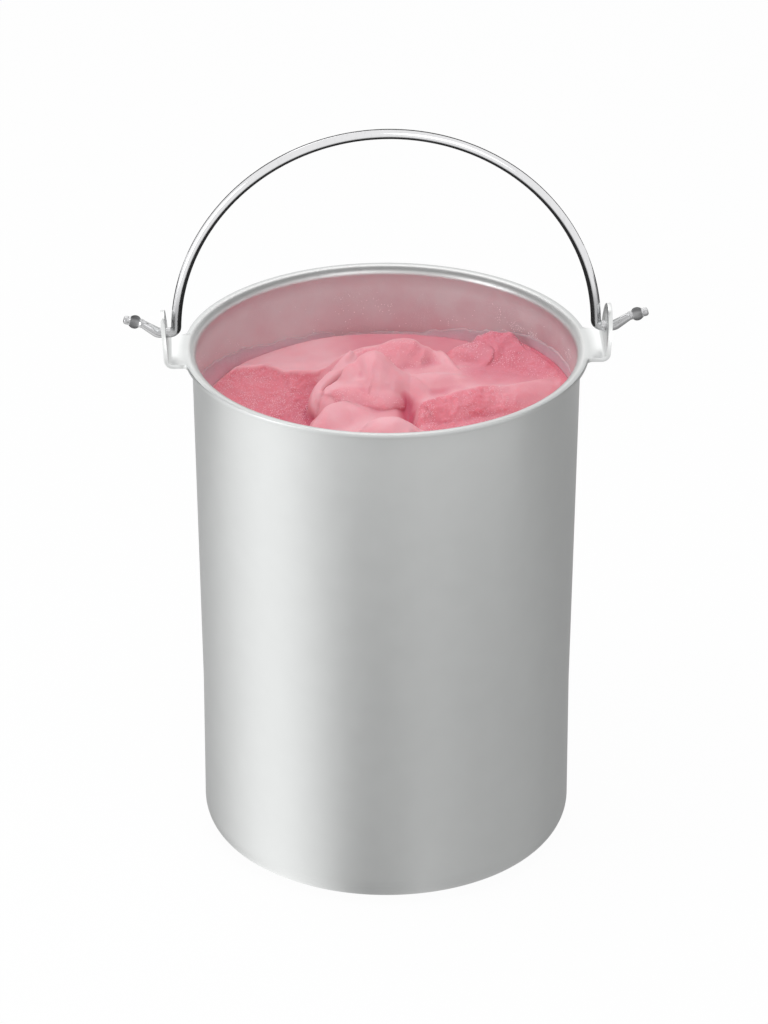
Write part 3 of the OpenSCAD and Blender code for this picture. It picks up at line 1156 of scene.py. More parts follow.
@dataclass
class Scatter:
    """Small lumps set over a surface, such as frost on the wall or crumbs on a cut face.

    Attributes:
        name: Name of the piece.
        seed: Seed of the random places, turns and sizes.
        density: Most lumps on a square millimetre.
        smallest: Radius of the smallest lump.
        largest: Radius of the largest lump.
    """

    name: str
    seed: int
    density: float
    smallest: float
    largest: float

    def _tree(self, material: bpy.types.Material) -> tuple:
        """Node tree that sets lumps over its host where the value named cover is high.

        Args:
            material: Finish of the lumps.

        Returns:
            The tree and the identifiers of its inputs by name.
        """
        tree = bpy.data.node_groups.new(self.name + "_scatter", "GeometryNodeTree")
        graph = Graph(tree)
        tree.interface.new_socket(name="Host", in_out="INPUT", socket_type="NodeSocketGeometry")
        named = {}
        for key, kind in (
            ("Density", "NodeSocketFloat"),
            ("Smallest", "NodeSocketFloat"),
            ("Largest", "NodeSocketFloat"),
            ("Seed", "NodeSocketInt"),
        ):
            named[key] = tree.interface.new_socket(name=key, in_out="INPUT", socket_type=kind).identifier
        tree.interface.new_socket(name="Lumps", in_out="OUTPUT", socket_type="NodeSocketGeometry")
        start = graph.add("NodeGroupInput")
        end = graph.add("NodeGroupOutput")
        cover = graph.add("GeometryNodeInputNamedAttribute", {"Name": "cover"}, data_type="FLOAT")
        dense = graph.math("MULTIPLY", cover.outputs[0], start.outputs["Density"])
        spots = graph.add(
            "GeometryNodeDistributePointsOnFaces",
            {"Mesh": start.outputs["Host"], "Density": dense, "Seed": start.outputs["Seed"]},
        )
        lump = graph.add("GeometryNodeMeshIcoSphere", {"Radius": 1.0, "Subdivisions": 1})
        size = graph.add(
            "FunctionNodeRandomValue",
            {
                "Min": start.outputs["Smallest"],
                "Max": start.outputs["Largest"],
                "Seed": start.outputs["Seed"],
            },
            data_type="FLOAT",
        )
        turn = graph.add(
            "FunctionNodeRandomValue",
            {0: (0.0, 0.0, 0.0), 1: (6.28, 6.28, 6.28), "Seed": start.outputs["Seed"]},
            data_type="FLOAT_VECTOR",
        )
        set_out = graph.add(
            "GeometryNodeInstanceOnPoints",
            {
                "Points": spots.outputs["Points"],
                "Instance": lump.outputs["Mesh"],
                "Scale": size.outputs[1],
                "Rotation": turn.outputs[0],
            },
        )
        whole = graph.add("GeometryNodeRealizeInstances", {0: set_out.outputs[0]})
        dressed = graph.add("GeometryNodeSetMaterial", {"Geometry": whole.outputs[0], "Material": material})
        tree.links.new(dressed.outputs[0], end.inputs[0])
        return tree, named

    def over(
        self, points: np.ndarray, faces: list, cover: np.ndarray, material: bpy.types.Material
    ) -> bpy.types.Object:
        """Scatters the lumps.

        Args:
            points: Points of the host surface in millimetres.
            faces: Faces of the host surface.
            cover: Share of the density for each point, from 0 to 1.
            material: Finish of the lumps.

        Returns:
            The lumps as one plain mesh piece.
        """
        piece = make_piece(self.name, points, faces)
        put_float(piece, "cover", cover)
        tree, named = self._tree(material)
        scatter = piece.modifiers.new("scatter", "NODES")
        scatter.node_group = tree
        scatter[named["Density"]] = self.density * 1e6
        scatter[named["Smallest"]] = self.smallest * MM
        scatter[named["Largest"]] = self.largest * MM
        scatter[named["Seed"]] = self.seed
        settle(piece)
        piece.data.polygons.foreach_set("use_smooth", [True] * len(piece.data.polygons))
        return piece


# ---------------------------------------------------------------- the ice cream


@dataclass(frozen=True)
class Crest:
    """One fold of ice cream along a curved crest.

    Attributes:
        line: Points of the crest, each x, y and depth below the flange.
        left: Width of the side on the left of the crest's direction.
        right: Width of the side on its right.
        foot: Depth at which the fold runs out.
        square: How squarely the left side falls, where 0.5 is an ellipse.
        steep: How squarely the right side falls.
        ends: Share of its width that a fold keeps at its two ends.
        blunt: How abruptly the fold breaks off at the start of its crest, where 1 is round.
        curl: How far the crest leans over its right side.
        grain_left: How icy the left side is, from 0 to 1.
        grain_right: How icy the right side is.
        grain_start: Share of that ice at the start of the crest.
    """

    line: tuple
    left: float
    right: float
    foot: float = 36.0
    square: float = 0.6
    steep: float = 0.6
    ends: float = 0.5
    blunt: float = 1.0
    curl: float = 0.0
    grain_left: float = 0.2
    grain_right: float = 0.2
    grain_start: float = 1.0

    def lay(self, x: np.ndarray, y: np.ndarray) -> tuple:
        """Measures the fold over points of the plan.

        Args:
            x: Places along X in millimetres.
            y: Places along Y in millimetres.

        Returns:
            Height over the flange, share of the fold's height, how icy it is, the unit
            vector that points to the right of the crest as two arrays.
        """
        path = through(list(self.line), 8)
        run = np.concatenate([[0.0], np.cumsum(np.hypot(*np.diff(path[:, :2], axis=0).T))])
        run /= run[-1]
        along = np.zeros(x.shape)
        best = np.full(x.shape, np.inf)
        depth = np.zeros(x.shape)
        side = np.zeros(x.shape)
        right_x = np.zeros(x.shape)
        right_y = np.zeros(x.shape)
        for (ax, ay, ad), (bx, by, bd), start, end in zip(path[:-1], path[1:], run[:-1], run[1:]):
            dx, dy = bx - ax, by - ay
            length = math.hypot(dx, dy) or 1e-6
            t = ((x - ax) * dx + (y - ay) * dy) / length**2
            before = np.maximum(0.0, -t) * length * (self.blunt if start == 0.0 else 1.0)
            t = np.clip(t, 0.0, 1.0)
            turn = (dx * (y - ay) - dy * (x - ax)) / length
            away = np.where(before > 0.0, np.hypot(turn, before), np.hypot(x - ax - t * dx, y - ay - t * dy))
            nearer = away < best
            best = np.where(nearer, away, best)
            depth = np.where(nearer, ad + t * (bd - ad), depth)
            side = np.where(nearer, turn, side)
            along = np.where(nearer, start + t * (end - start), along)
            right_x = np.where(nearer, dy / length, right_x)
            right_y = np.where(nearer, -dx / length, right_y)
        lean = smoothstep(-1.0, 1.0, side)
        width = self.right + (self.left - self.right) * lean
        full = smoothstep(0.0, 0.22, along) * smoothstep(1.0, 0.78, along)
        width = width * (self.ends + (1.0 - self.ends) * full)
        share = np.maximum(0.0, 1.0 - (best / width) ** 2) ** (self.steep + (self.square - self.steep) * lean)
        top = np.where(share > 0.0, -self.foot + (self.foot - depth) * share, -2.0 * self.foot)
        icy = self.grain_right + (self.grain_left - self.grain_right) * smoothstep(-1.5, 1.5, side)
        icy = icy * (self.grain_start + (1.0 - self.grain_start) * smoothstep(0.1, 0.7, along))
        return top, share, icy, right_x, right_y


@dataclass(frozen=True)
class Dent:
    """A soft hollow pressed into the folds.

    Attributes:
        line: Points along the hollow, each x, y and how far it goes down.
        width: Half its width.
    """

    line: tuple
    width: float

    def press(self, x: np.ndarray, y: np.ndarray) -> np.ndarray:
        """Measures the hollow over points of the plan.

        Args:
            x: Places along X in millimetres.
            y: Places along Y in millimetres.

        Returns:
            Depth of the hollow at each.
        """
        deepest = np.zeros(x.shape)
        for px, py, depth in through(list(self.line), 6):
            away = (x - px) ** 2 + (y - py) ** 2
            deepest = np.maximum(deepest, depth * np.exp(-away / self.width**2))
        return deepest


class Folds:
    """The folds that the paddle and the scoop left, from the back to the front."""

    ALL = (
        # Broad core under the folds.
        Crest(((-6, 12, 21.5), (12, 17, 20), (32, 20, 20.5), (52, 17, 22)),
              left=25, right=26, square=1.0, steep=1.0, grain_left=0.4, grain_right=0.3),
        # Ridge at the edge of the smooth bank, which runs into the lobe at the back.
        Crest(((-20, 33, 23.5), (-15, 33, 19.5), (-9, 31.5, 16.3), (-4.5, 31.5, 15.2), (0, 32.5, 14.5),
               (4, 34.2, 13.7), (8, 35, 13.7), (11.5, 34.2, 14.2), (14.5, 33, 15.8), (17.5, 32, 16.6),
               (20, 29, 19.5)),
              left=8, right=25, square=0.5, steep=1.05, curl=-0.5, grain_left=0.15, grain_right=0.62),
        # Long finger between the back lobe and the right mound.
        Crest(((19.5, 34.5, 19), (20.8, 32.8, 17.6), (22.8, 29, 18.6), (25, 25, 19.6), (27.3, 20, 20),
               (29.5, 15, 21)),
              left=4.6, right=6.5, square=0.6, steep=0.8, curl=-0.5, grain_left=0.3, grain_right=0.3),
        # Right mound and its near slope; its high grain also paints it rosier, partly as painted shade on the
        # right.
        Crest(((26, 34, 22.5), (27.5, 37, 20), (30.5, 39, 18.5), (34.7, 40, 17.7), (37, 41.2, 16.1),
               (41, 42, 15.2), (44.5, 41.8, 15.6), (47.5, 40.8, 15.4), (49.5, 38.5, 17)),
              left=8, right=29, square=0.6, steep=1.15, ends=0.9, curl=-0.4, grain_left=0.8,
              grain_right=0.75),
        # Crest that runs down along the right wall.
        Crest(((54, 37, 18.5), (56.5, 31, 19.2), (59.5, 25.5, 19.3), (62.5, 19, 19.4), (65, 11, 20.5)),
              left=9, right=17, square=0.8, steep=1.0, grain_left=0.95, grain_right=0.75),
        # Ridge that stands on the mound's near slope.
        Crest(((30.5, 23, 22.8), (33, 25.5, 21.8), (36, 28.3, 20.6), (38.3, 31.5, 18.9), (39.5, 36, 16.9)),
              left=7, right=4.5, square=1.0, steep=0.6, curl=0.7, grain_left=0.4, grain_right=0.7),
        # Smooth saddle that sweeps from the main lobe to the slab.
        Crest(((8, 13, 18), (16, 14, 17.8), (23, 15, 18.4), (29, 15, 19.8), (37, 14, 21.5), (46, 13, 22.5)),
              left=12, right=13, square=1.0, steep=0.9, grain_left=0.12, grain_right=0.15),
        # Slab at the right front with a steep icy face.
        Crest(((66, 14, 21.5), (59.5, 12, 19.6), (52, 7.3, 18.4), (45, 4, 18), (39, 3, 17.5), (33, 2, 17.3),
               (27.5, -0.8, 17.5), (21.5, -3, 18.2), (16, -5.6, 18.9), (12, -6.8, 19.4), (10.4, -9.5, 20.6)),
              left=17, right=7, square=0.75, steep=0.6, ends=0.65, curl=-0.8, grain_left=1.0,
              grain_right=0.25, grain_start=0.25),
        # Pale crescent on the left of the main lobe.
        Crest(((-25, 2, 28), (-25.3, 7.5, 24.3), (-24.7, 11.5, 22.2), (-23, 14.5, 20.9), (-20.6, 17, 19.6),
               (-18, 19.2, 18.3), (-15.9, 21.5, 17), (-14.2, 24, 15.7), (-11.5, 27, 14.6)),
              left=3.6, right=11, square=0.5, steep=0.9, curl=-0.9, grain_left=0.15, grain_right=0.05),
        # Upper part of the main lobe, broken off on its left.
        Crest(((-11, 14.2, 12.6), (-9, 15.2, 10.9), (-6.5, 15.4, 9.8), (-3, 15, 9.4), (0, 14, 11),
               (3, 13, 13.7), (6, 12, 15.8), (9.5, 11, 17.8)),
              left=5, right=25, square=0.5, steep=1.2, ends=0.7, blunt=5.0, curl=-0.6, grain_left=0.3,
              grain_right=0.24),
        # Rise between the pointed slab and the lobe.
        Crest(((-18, 8.0, 18.8), (-13, 7.2, 16.9), (-9, 6.6, 15.9), (-5, 5.8, 15.6), (0, 4.6, 16.6)),
              left=6, right=6, square=0.9, steep=0.9, grain_left=0.2, grain_right=0.2),
        # Top of the pointed slab, with a sharp edge over the slit behind it.
        Crest(((-22, 6.2, 20.3), (-18.8, 9.8, 18.5), (-15.5, 12, 17.3), (-12.5, 13.2, 16),
               (-10, 13.6, 14.6)),
              left=3.2, right=13, square=0.45, steep=1.1, ends=0.8, curl=-0.6, grain_left=0.3,
              grain_right=0.2),
        # Pointed slab in front of it, with an icy face below.
        Crest(((-21.8, 5.8, 20.4), (-19.5, 6.3, 19.5), (-16, 6.4, 18.8), (-11.5, 5.3, 18.3), (-6, 4, 18.5),
               (-0.5, 2.8, 19.4), (3, 2.6, 20.1), (5.2, 4, 20.8)),
              left=9, right=10, square=1.3, steep=0.6, curl=1.3, grain_left=0.04, grain_right=0.6),
        # Pale lobe at the left front.
        Crest(((-27.5, -20, 24), (-25, -14.5, 22.2), (-22.8, -10, 21), (-20, -6.6, 20.4), (-16.5, -5, 20.7),
               (-12, -6, 22), (-5, -9, 24), (1, -12, 26)),
              left=5, right=24, square=0.5, steep=1.1, curl=-0.9, grain_left=0.25, grain_right=0.25),
        # Small light lobe in front of the middle.
        Crest(((-12, -27.5, 21), (-7.4, -28, 17.4), (-3, -28.5, 15.3), (1.3, -28.6, 14.9), (4.5, -29, 15.8),
               (8, -29, 17.7), (11.5, -29.2, 20)),
              left=8, right=16, square=0.5, steep=0.9, curl=-0.6, grain_left=0.0, grain_right=0.0),
        # Folds in front, low behind the rim.
        Crest(((-53, -20, 24), (-45, -27, 20.5), (-36, -34, 19.5), (-27, -41, 20), (-18, -47, 23)),
              left=14, right=16, curl=0.5, grain_left=0.2, grain_right=0.7),
        Crest(((17, -42, 24), (27, -37.5, 18.8), (37, -32, 17.4), (47, -26, 18.8), (55, -19, 23)),
              left=14, right=16, curl=0.8, grain_left=0.8, grain_right=0.7),
        Crest(((-9, -45, 24), (4, -50, 19.5), (17, -49, 22)),
              left=10, right=13, curl=0.6, grain_left=0.2, grain_right=0.6),
    )

    DENTS = (
        # Slit under the crescent.
        Dent(((-20.5, 10.5, 3.0), (-18, 12.8, 6.0), (-15, 15, 7.5), (-12.4, 16.4, 5.0)), 1.6),
        # Crease between the main lobe and the slab.
        Dent(((7.5, 2, 2.5), (8, -5, 4.5), (7.5, -13, 5.5), (8, -20, 4.0)), 3.0),
    )


@dataclass
class IceCreamFill:
    """The churned ice cream: a smooth bank, a scooped hollow and a heap of folds.

    Attributes:
        rim_z: Height of the flange's top.
        radius: Radius of the surface.
        foot_z: Height of the ice cream's foot.
        corner: Radius of the corner at the foot.
        side_r: Radius of the straight lower side.
        side_z: Height of the straight lower side.
        level: Depth of the bank at the wall.
        margin: Width of the strip along the wall where the folds end.
        groove: How far the edge lies below the bank.
        blend: Difference in height below which two folds run together.
        across: Squares of the surface from side to side.
        lip: Outline of the scooped hollow, each x and y.
        surface: Points, faces and grain of the surface, once it is built.
    """

    rim_z: float
    radius: float
    foot_z: float
    corner: float = 9.2
    side_r: float = 66.4
    side_z: float = 60.0
    level: float = 25.6
    margin: float = 3.2
    groove: float = 1.5
    blend: float = 0.5
    across: int = 284
    lip: tuple = (
        (-60.5, 28.5), (-58.6, 32.4), (-55.3, 35.3), (-49.5, 37.0), (-43.7, 36.8), (-40.0, 34.0),
        (-37.0, 31.5), (-33.5, 30.6), (-29.2, 30.2), (-24.8, 31.2), (-21.2, 31.8), (-18.0, 34.0),
        (-14.0, 22.0), (-17.0, 0.0), (-24.0, -20.0), (-34.0, -38.0), (-48.0, -43.0), (-60.0, -30.0),
        (-66.0, -12.0), (-66.5, 8.0), (-63.5, 21.0),
    )
    surface: tuple = ()

    def _plan(self) -> tuple:
        """Places of the surface's points, as a square grid drawn onto the round mouth.

        Returns:
            Their places along X and along Y.
        """
        u = np.linspace(-1.0, 1.0, self.across + 1)
        gx, gy = np.meshgrid(u, u, indexing="ij")
        x = gx * np.sqrt(1.0 - 0.5 * gy**2) * self.radius
        y = gy * np.sqrt(1.0 - 0.5 * gx**2) * self.radius
        return x.ravel(), y.ravel()

    def _bank(self, x: np.ndarray, y: np.ndarray, ripple: Ripple) -> tuple:
        """Smooth bank with the hollow that a scoop left in it.

        Args:
            x: Places along X.
            y: Places along Y.
            ripple: Random waves for the ragged lip.

        Returns:
            Height over the flange and how icy the surface is.
        """
        flat = np.column_stack([x, y, np.zeros_like(x)])
        distance = np.hypot(x, y) / self.radius
        bank = -self.level + 1.5 * (1.0 - distance**2) + 0.25 * ripple.layered(flat, 16.0, 2)
        bank += 0.7 * np.exp(-(((y - 40.0 + 0.12 * (x + 40)) / 6.0) ** 2))
        edge = through(list(self.lip) + [self.lip[0]], 6)
        inward = self._inside(x, y, edge) + 0.7 * ripple.at(flat, 4.0) + 0.35 * ripple.at(flat + 5.0, 1.8)
        bank += 0.75 * np.exp(-(((inward + 0.3) / 1.1) ** 2))
        drop = 1.0 - np.exp(-np.maximum(0.0, inward) / 8.0)
        towards = smoothstep(-62.0, -24.0, x - 0.35 * y)
        hollow = drop * (3.8 + 6.5 * towards) + 0.5 * smoothstep(0.0, 0.9, inward)
        front = smoothstep(8.0, 15.0, x) * smoothstep(-5.0, -13.0, y)
        icy = np.maximum(smoothstep(0.0, 0.9, inward), 0.9 * front)
        return bank - hollow, 0.08 + 0.92 * icy

    @staticmethod
    def _inside(x: np.ndarray, y: np.ndarray, edge: np.ndarray) -> np.ndarray:
        """Distance from a closed outline.

        Args:
            x: Places along X.
            y: Places along Y.
            edge: Points of the outline, the last like the first.

        Returns:
            The distance of each place, positive inside the outline.
        """
        best = np.full(x.shape, np.inf)
        odd = np.zeros(x.shape, bool)
        for (ax, ay), (bx, by) in zip(edge[:-1], edge[1:]):
            dx, dy = bx - ax, by - ay
            t = np.clip(((x - ax) * dx + (y - ay) * dy) / max(1e-9, dx * dx + dy * dy), 0.0, 1.0)
            best = np.minimum(best, np.hypot(x - ax - t * dx, y - ay - t * dy))
            if dy:
                odd ^= ((ay > y) != (by > y)) & (x < ax + (y - ay) * dx / dy)
        return np.where(odd, best, -best)

    def build(self) -> bpy.types.Object:
        """Builds the ice cream as one closed mesh with its grain and its painted crease shade stored on it.

        Returns:
            The ice cream.
        """
        ripple = Ripple(11)
        x, y = self._plan()
        height, grain = self._bank(x, y, ripple)
        flat = np.column_stack([x, y, np.zeros_like(x)])
        wander = 0.6 * ripple.at(flat, 8.0) + 0.4 * ripple.at(flat + 3.0, 3.5)
        lean_x = np.zeros_like(x)
        lean_y = np.zeros_like(x)
        for k, fold in enumerate(Folds.ALL):
            top, share, icy, right_x, right_y = fold.lay(x + wander, y - 0.8 * wander)
            top = top + 0.35 * share * ripple.at(flat + 29.0 * k, 5.0)
            lead = smoothstep(-0.8, 0.8, top - height)
            grain = grain + (icy - grain) * lead
            lift = smoothstep(0.45, 0.95, share) * lead * fold.curl
            keep = 1.0 - lead
            lean_x = lean_x * keep + lift * right_x
            lean_y = lean_y * keep + lift * right_y
            height = smooth_max(height, top, self.blend)
        height = self._fill_slits(height, self.across + 1)
        for dent in Folds.DENTS:
            height = height - dent.press(x, y)
        edge = smoothstep(0.0, self.margin, self.radius - np.hypot(x, y))
        bearing = np.degrees(np.arctan2(y, x))
        heaped = 7.0 * smoothstep(-14.0, 12.0, bearing) * smoothstep(62.0, 38.0, bearing)
        brim = self.level + self.groove - heaped
        height = -brim * (1 - edge) + height * edge
        points = np.column_stack([x + lean_x * edge, y + lean_y * edge, self.rim_z + height])
        count = self.across + 1
        normals = self._normals(points, count)
        # Painted shade: how far each point lies below the surface round it, stored as the hollow value.
        painted_crease_shade = self._cavity(points[:, 2], count)
        # Painted shade: the right mound and the back right of the bank are darkened as though shaded.
        painted_crease_shade = np.maximum(painted_crease_shade, 0.50 * smoothstep(20.0, 36.0, x) * smoothstep(2.0, 20.0, y))
        painted_crease_shade = np.maximum(painted_crease_shade, 0.40 * smoothstep(-28.0, -4.0, x) * smoothstep(30.0, 46.0, y))
        rough = 0.40 * ripple.at(points, 1.7) + 0.28 * ripple.at(points + 9.0, 1.0)
        fine = 0.10 * ripple.at(points + 4.0, 3.2)
        grain = np.clip(grain + 0.15 * ripple.at(points, 6.0), 0.0, 1.0)
        points = points + normals * ((rough * grain**1.5 + fine) * edge)[:, None]
        self.surface = (points, self._quads(count), grain)
        return self._close(points, count, grain, painted_crease_shade)

    @staticmethod
    def _fill_slits(height: np.ndarray, count: int, reach: int = 6) -> np.ndarray:
        """Fills the slits between folds that are too narrow to stay open and rounds the creases.

        Args:
            height: Heights of the surface's points, row by row.
            count: Points in each row.
            reach: Half the width of the slits that close, in points.

        Returns:
            The new heights.
        """
        grid = height.reshape(count, count)
        closed = grid
        for step in range(2 * reach):
            pick = np.maximum if step < reach else np.minimum
            p = np.pad(closed, 1, mode="edge")
            closed = pick.reduce([closed, p[:-2, 1:-1], p[2:, 1:-1], p[1:-1, :-2], p[1:-1, 2:]])
            if step % 2:
                closed = pick.reduce([closed, p[:-2, :-2], p[2:, 2:], p[2:, :-2], p[:-2, 2:]])
        for _ in range(6):
            p = np.pad(closed, 1, mode="edge")
            closed = (p[:-2, 1:-1] + p[2:, 1:-1] + p[1:-1, :-2] + p[1:-1, 2:]) / 4.0
        return np.maximum(grid, closed).ravel()

    @staticmethod
    def _quads(count: int) -> list:
        """Faces of the surface's square grid.

        Args:
            count: Points in each row.

        Returns:
            The faces.
        """
        return [
            (i * count + j, (i + 1) * count + j, (i + 1) * count + j + 1, i * count + j + 1)
            for i in range(count - 1)
            for j in range(count - 1)
        ]

    def crumbs(self, scatter: Scatter, material: bpy.types.Material) -> bpy.types.Object:
        """Sets small crumbs on the icy parts of the surface that build() made.

        Args:
            scatter: How the crumbs are spread.
            material: Finish of the crumbs.

        Returns:
            The crumbs as one piece.
        """
        points, quads, grain = self.surface
        near_wall = smoothstep(2.0, 5.0, self.radius - np.hypot(points[:, 0], points[:, 1]))
        clump = Ripple(31).layered(points, 5.0, 2)
        cover = smoothstep(0.35, 0.9, grain) * smoothstep(-0.5, 0.7, clump) * near_wall
        return scatter.over(points, quads, cover, material)

    @staticmethod
    def _normals(points: np.ndarray, count: int) -> np.ndarray:
        """Unit normals of the surface's points.

        Args:
            points: The points, row by row.
            count: Points in each row.

        Returns:
            One normal for each point.
        """
        grid = points.reshape(count, count, 3)
        du = np.gradient(grid, axis=0)
        dv = np.gradient(grid, axis=1)
        normal = np.cross(du, dv).reshape(-1, 3)
        return normal / np.maximum(1e-9, np.linalg.norm(normal, axis=1))[:, None]

    @staticmethod
    def _cavity(height: np.ndarray, count: int) -> np.ndarray:
        """How far each point lies below the surface round it, near and far.

        Args:
            height: Heights of the points, row by row.
            count: Points in each row.

        Returns:
            A number from 0 to 1 for each point.
        """
        grid = height.reshape(count, count)
        deepest = np.zeros(count * count)
        for step, scale in ((1, 2.0), (5, 9.0)):
            wide = grid.copy()
            for _ in range(60):
                p = np.pad(wide, step, mode="edge")
                wide = (p[: -2 * step, step:-step] + p[2 * step :, step:-step]) / 4.0
                wide += (p[step:-step, : -2 * step] + p[step:-step, 2 * step :]) / 4.0
            deepest = np.maximum(deepest, (wide - grid).ravel() / scale)
        return np.clip(deepest, 0.0, 1.0)

    def _close(
        self, points: np.ndarray, count: int, grain: np.ndarray, painted_crease_shade: np.ndarray
    ) -> bpy.types.Object:
        """Adds the side and the foot below the surface.

        Args:
            points: The surface's points, row by row.
            count: Points in each row.
            grain: How icy each point is.
            painted_crease_shade: How hollow each point lies.

        Returns:
            The closed piece with its attributes.
        """
        index = np.arange(count * count).reshape(count, count)
        rim = list(index[:-1, 0]) + list(index[-1, :-1]) + list(index[:0:-1, -1]) + list(index[0, :0:-1])
        rows = [(self.side_r, self.side_z)]
        corner_r, corner_z = self.side_r - self.corner, self.foot_z + self.corner
        for a in np.radians(np.linspace(0, 90, 6)):
            rows.append((corner_r + self.corner * math.cos(a), corner_z - self.corner * math.sin(a)))
        unit = points[rim][:, :2]
        unit = unit / np.linalg.norm(unit, axis=1)[:, None]
        layers = [points]
        ring = [int(i) for i in rim]
        total = len(points)
        faces = self._quads(count)
        for r, z in rows:
            layers.append(np.column_stack([unit * r, np.full(len(rim), z)]))
            below = list(range(total, total + len(rim)))
            total += len(rim)
            faces += [(ring[k - 1], below[k - 1], below[k], ring[k]) for k in range(len(rim))]
            ring = below
        layers.append(np.array([[0.0, 0.0, self.foot_z]]))
        faces += [(ring[k - 1], total, ring[k]) for k in range(len(rim))]
        everything = np.vstack(layers)
        piece = make_piece("ice_cream_heap", everything, faces)
        spare = len(everything) - len(points)
        put_float(piece, "grain", np.concatenate([grain, np.full(spare, 0.2)]))
        # The hollow value carries the painted shade in creases.
        put_float(piece, "hollow", np.concatenate([painted_crease_shade, np.zeros(spare)]))
        return piece


@dataclass
class WallFilm:
    """Ice cream that the paddle left on the bowl's wall, thick below and ragged along its top.

    Attributes:
        rim_z: Height of the flange's top.
        wall: The bowl that it lies on.
        foot: Depth of its lower edge below the flange.
        thick: Thickness of its lower edge.
        columns: Points round the wall.
        top: Bearing in degrees and depth of its upper edge.
    """

    rim_z: float
    wall: DrawnBowl
    foot: float = 30.5
    thick: float = 0.60
    columns: int = 720
    top: tuple = (
        (-170.0, 18.5), (-150.0, 21.0), (-90.0, 22.0), (-30.0, 19.0), (-5.0, 17.0), (12.0, 15.5),
        (30.0, 15.0), (45.0, 18.0), (60.0, 22.0), (80.0, 26.2), (103.0, 26.6), (109.3, 24.8),
        (115.3, 24.2), (125.7, 24.0), (135.8, 22.1), (145.0, 20.7), (160.5, 17.6), (172.0, 17.5),
    )

    def build(self, material: bpy.types.Material) -> bpy.types.Object:
        """Builds the film as a thin closed ring of varying height.

        Args:
            material: Finish of the film.

        Returns:
            The film.
        """
        ripple = Ripple(23)
        angle = np.linspace(-180.0, 180.0, self.columns, endpoint=False)
        known = np.array(self.top)
        depth = np.interp(angle, known[:, 0], known[:, 1], period=360.0)
        turn = np.radians(angle)
        ring = np.column_stack([68.0 * np.cos(turn), 68.0 * np.sin(turn), np.zeros_like(turn)])
        ragged = 0.8 * ripple.at(ring, 5.0) + 0.55 * ripple.at(ring + 7.0, 1.9)
        depth = depth + (ragged + 0.3 * ripple.at(ring + 3.0, 0.9))
        layers = []
        shares = (0.0, 0.08, 0.2, 0.35, 0.55, 0.8, 1.0)
        for share in shares:
            z = self.rim_z - depth - (self.foot - depth) * share
            wall = self.wall.wall_at(z) - self.wall.sheet
            body = self.thick * (0.05 + 0.95 * share**0.9)
            lumps = 1.0 + 0.35 * ripple.at(np.column_stack([ring[:, :2], z]), 2.6)
            inner = wall - 0.04 - body * lumps
            layers.append(np.column_stack([inner * np.cos(turn), inner * np.sin(turn), z]))
        for share in reversed(shares):
            z = self.rim_z - depth - (self.foot - depth) * share
            wall = self.wall.wall_at(z) - self.wall.sheet - 0.03
            layers.append(np.column_stack([wall * np.cos(turn), wall * np.sin(turn), z]))
        n = self.columns
        faces = []
        for a in range(len(layers)):
            b = (a + 1) % len(layers)
            faces += [(a * n + k, a * n + (k + 1) % n, b * n + (k + 1) % n, b * n + k) for k in range(n)]
        piece = make_piece("wall_film", np.vstack(layers), [f[::-1] for f in faces])
        put_float(piece, "grain", np.full(n * len(layers), 0.55))
        put_float(piece, "hollow", np.full(n * len(layers), 0.12))
        piece.data.materials.append(material)
        return piece

    def frost(self, scatter: Scatter, material: bpy.types.Material) -> bpy.types.Object:
        """Sets frost on the lining above the ice cream, most of it on the right.

        Args:
            scatter: How the frost is spread.
            material: Finish of the frost.

        Returns:
            The frost as one piece.
        """
        turns, rows = 360, 24
        angle = np.radians(np.linspace(-180.0, 180.0, turns, endpoint=False))
        depth = np.linspace(5.0, 27.0, rows)
        a, d = (v.ravel() for v in np.meshgrid(angle, depth, indexing="ij"))
        z = self.rim_z - d
        r = self.wall.wall_at(z) - self.wall.sheet - 0.02
        points = np.column_stack([r * np.cos(a), r * np.sin(a), z])
        quads = [
            (i * rows + j, i * rows + j + 1, (i + 1) % turns * rows + j + 1, (i + 1) % turns * rows + j)
            for i in range(turns)
            for j in range(rows - 1)
        ]
        on_right = np.exp(-(((np.degrees(a) - 22.0) / 22.0) ** 2))
        clump = smoothstep(0.0, 0.9, Ripple(41).layered(points, 4.0, 2))
        cover = clump * (0.10 + on_right) * smoothstep(8.0, 13.0, d)
        return scatter.over(points, quads, np.clip(cover, 0.0, 1.0), material)


# ---------------------------------------------------------------- the studio


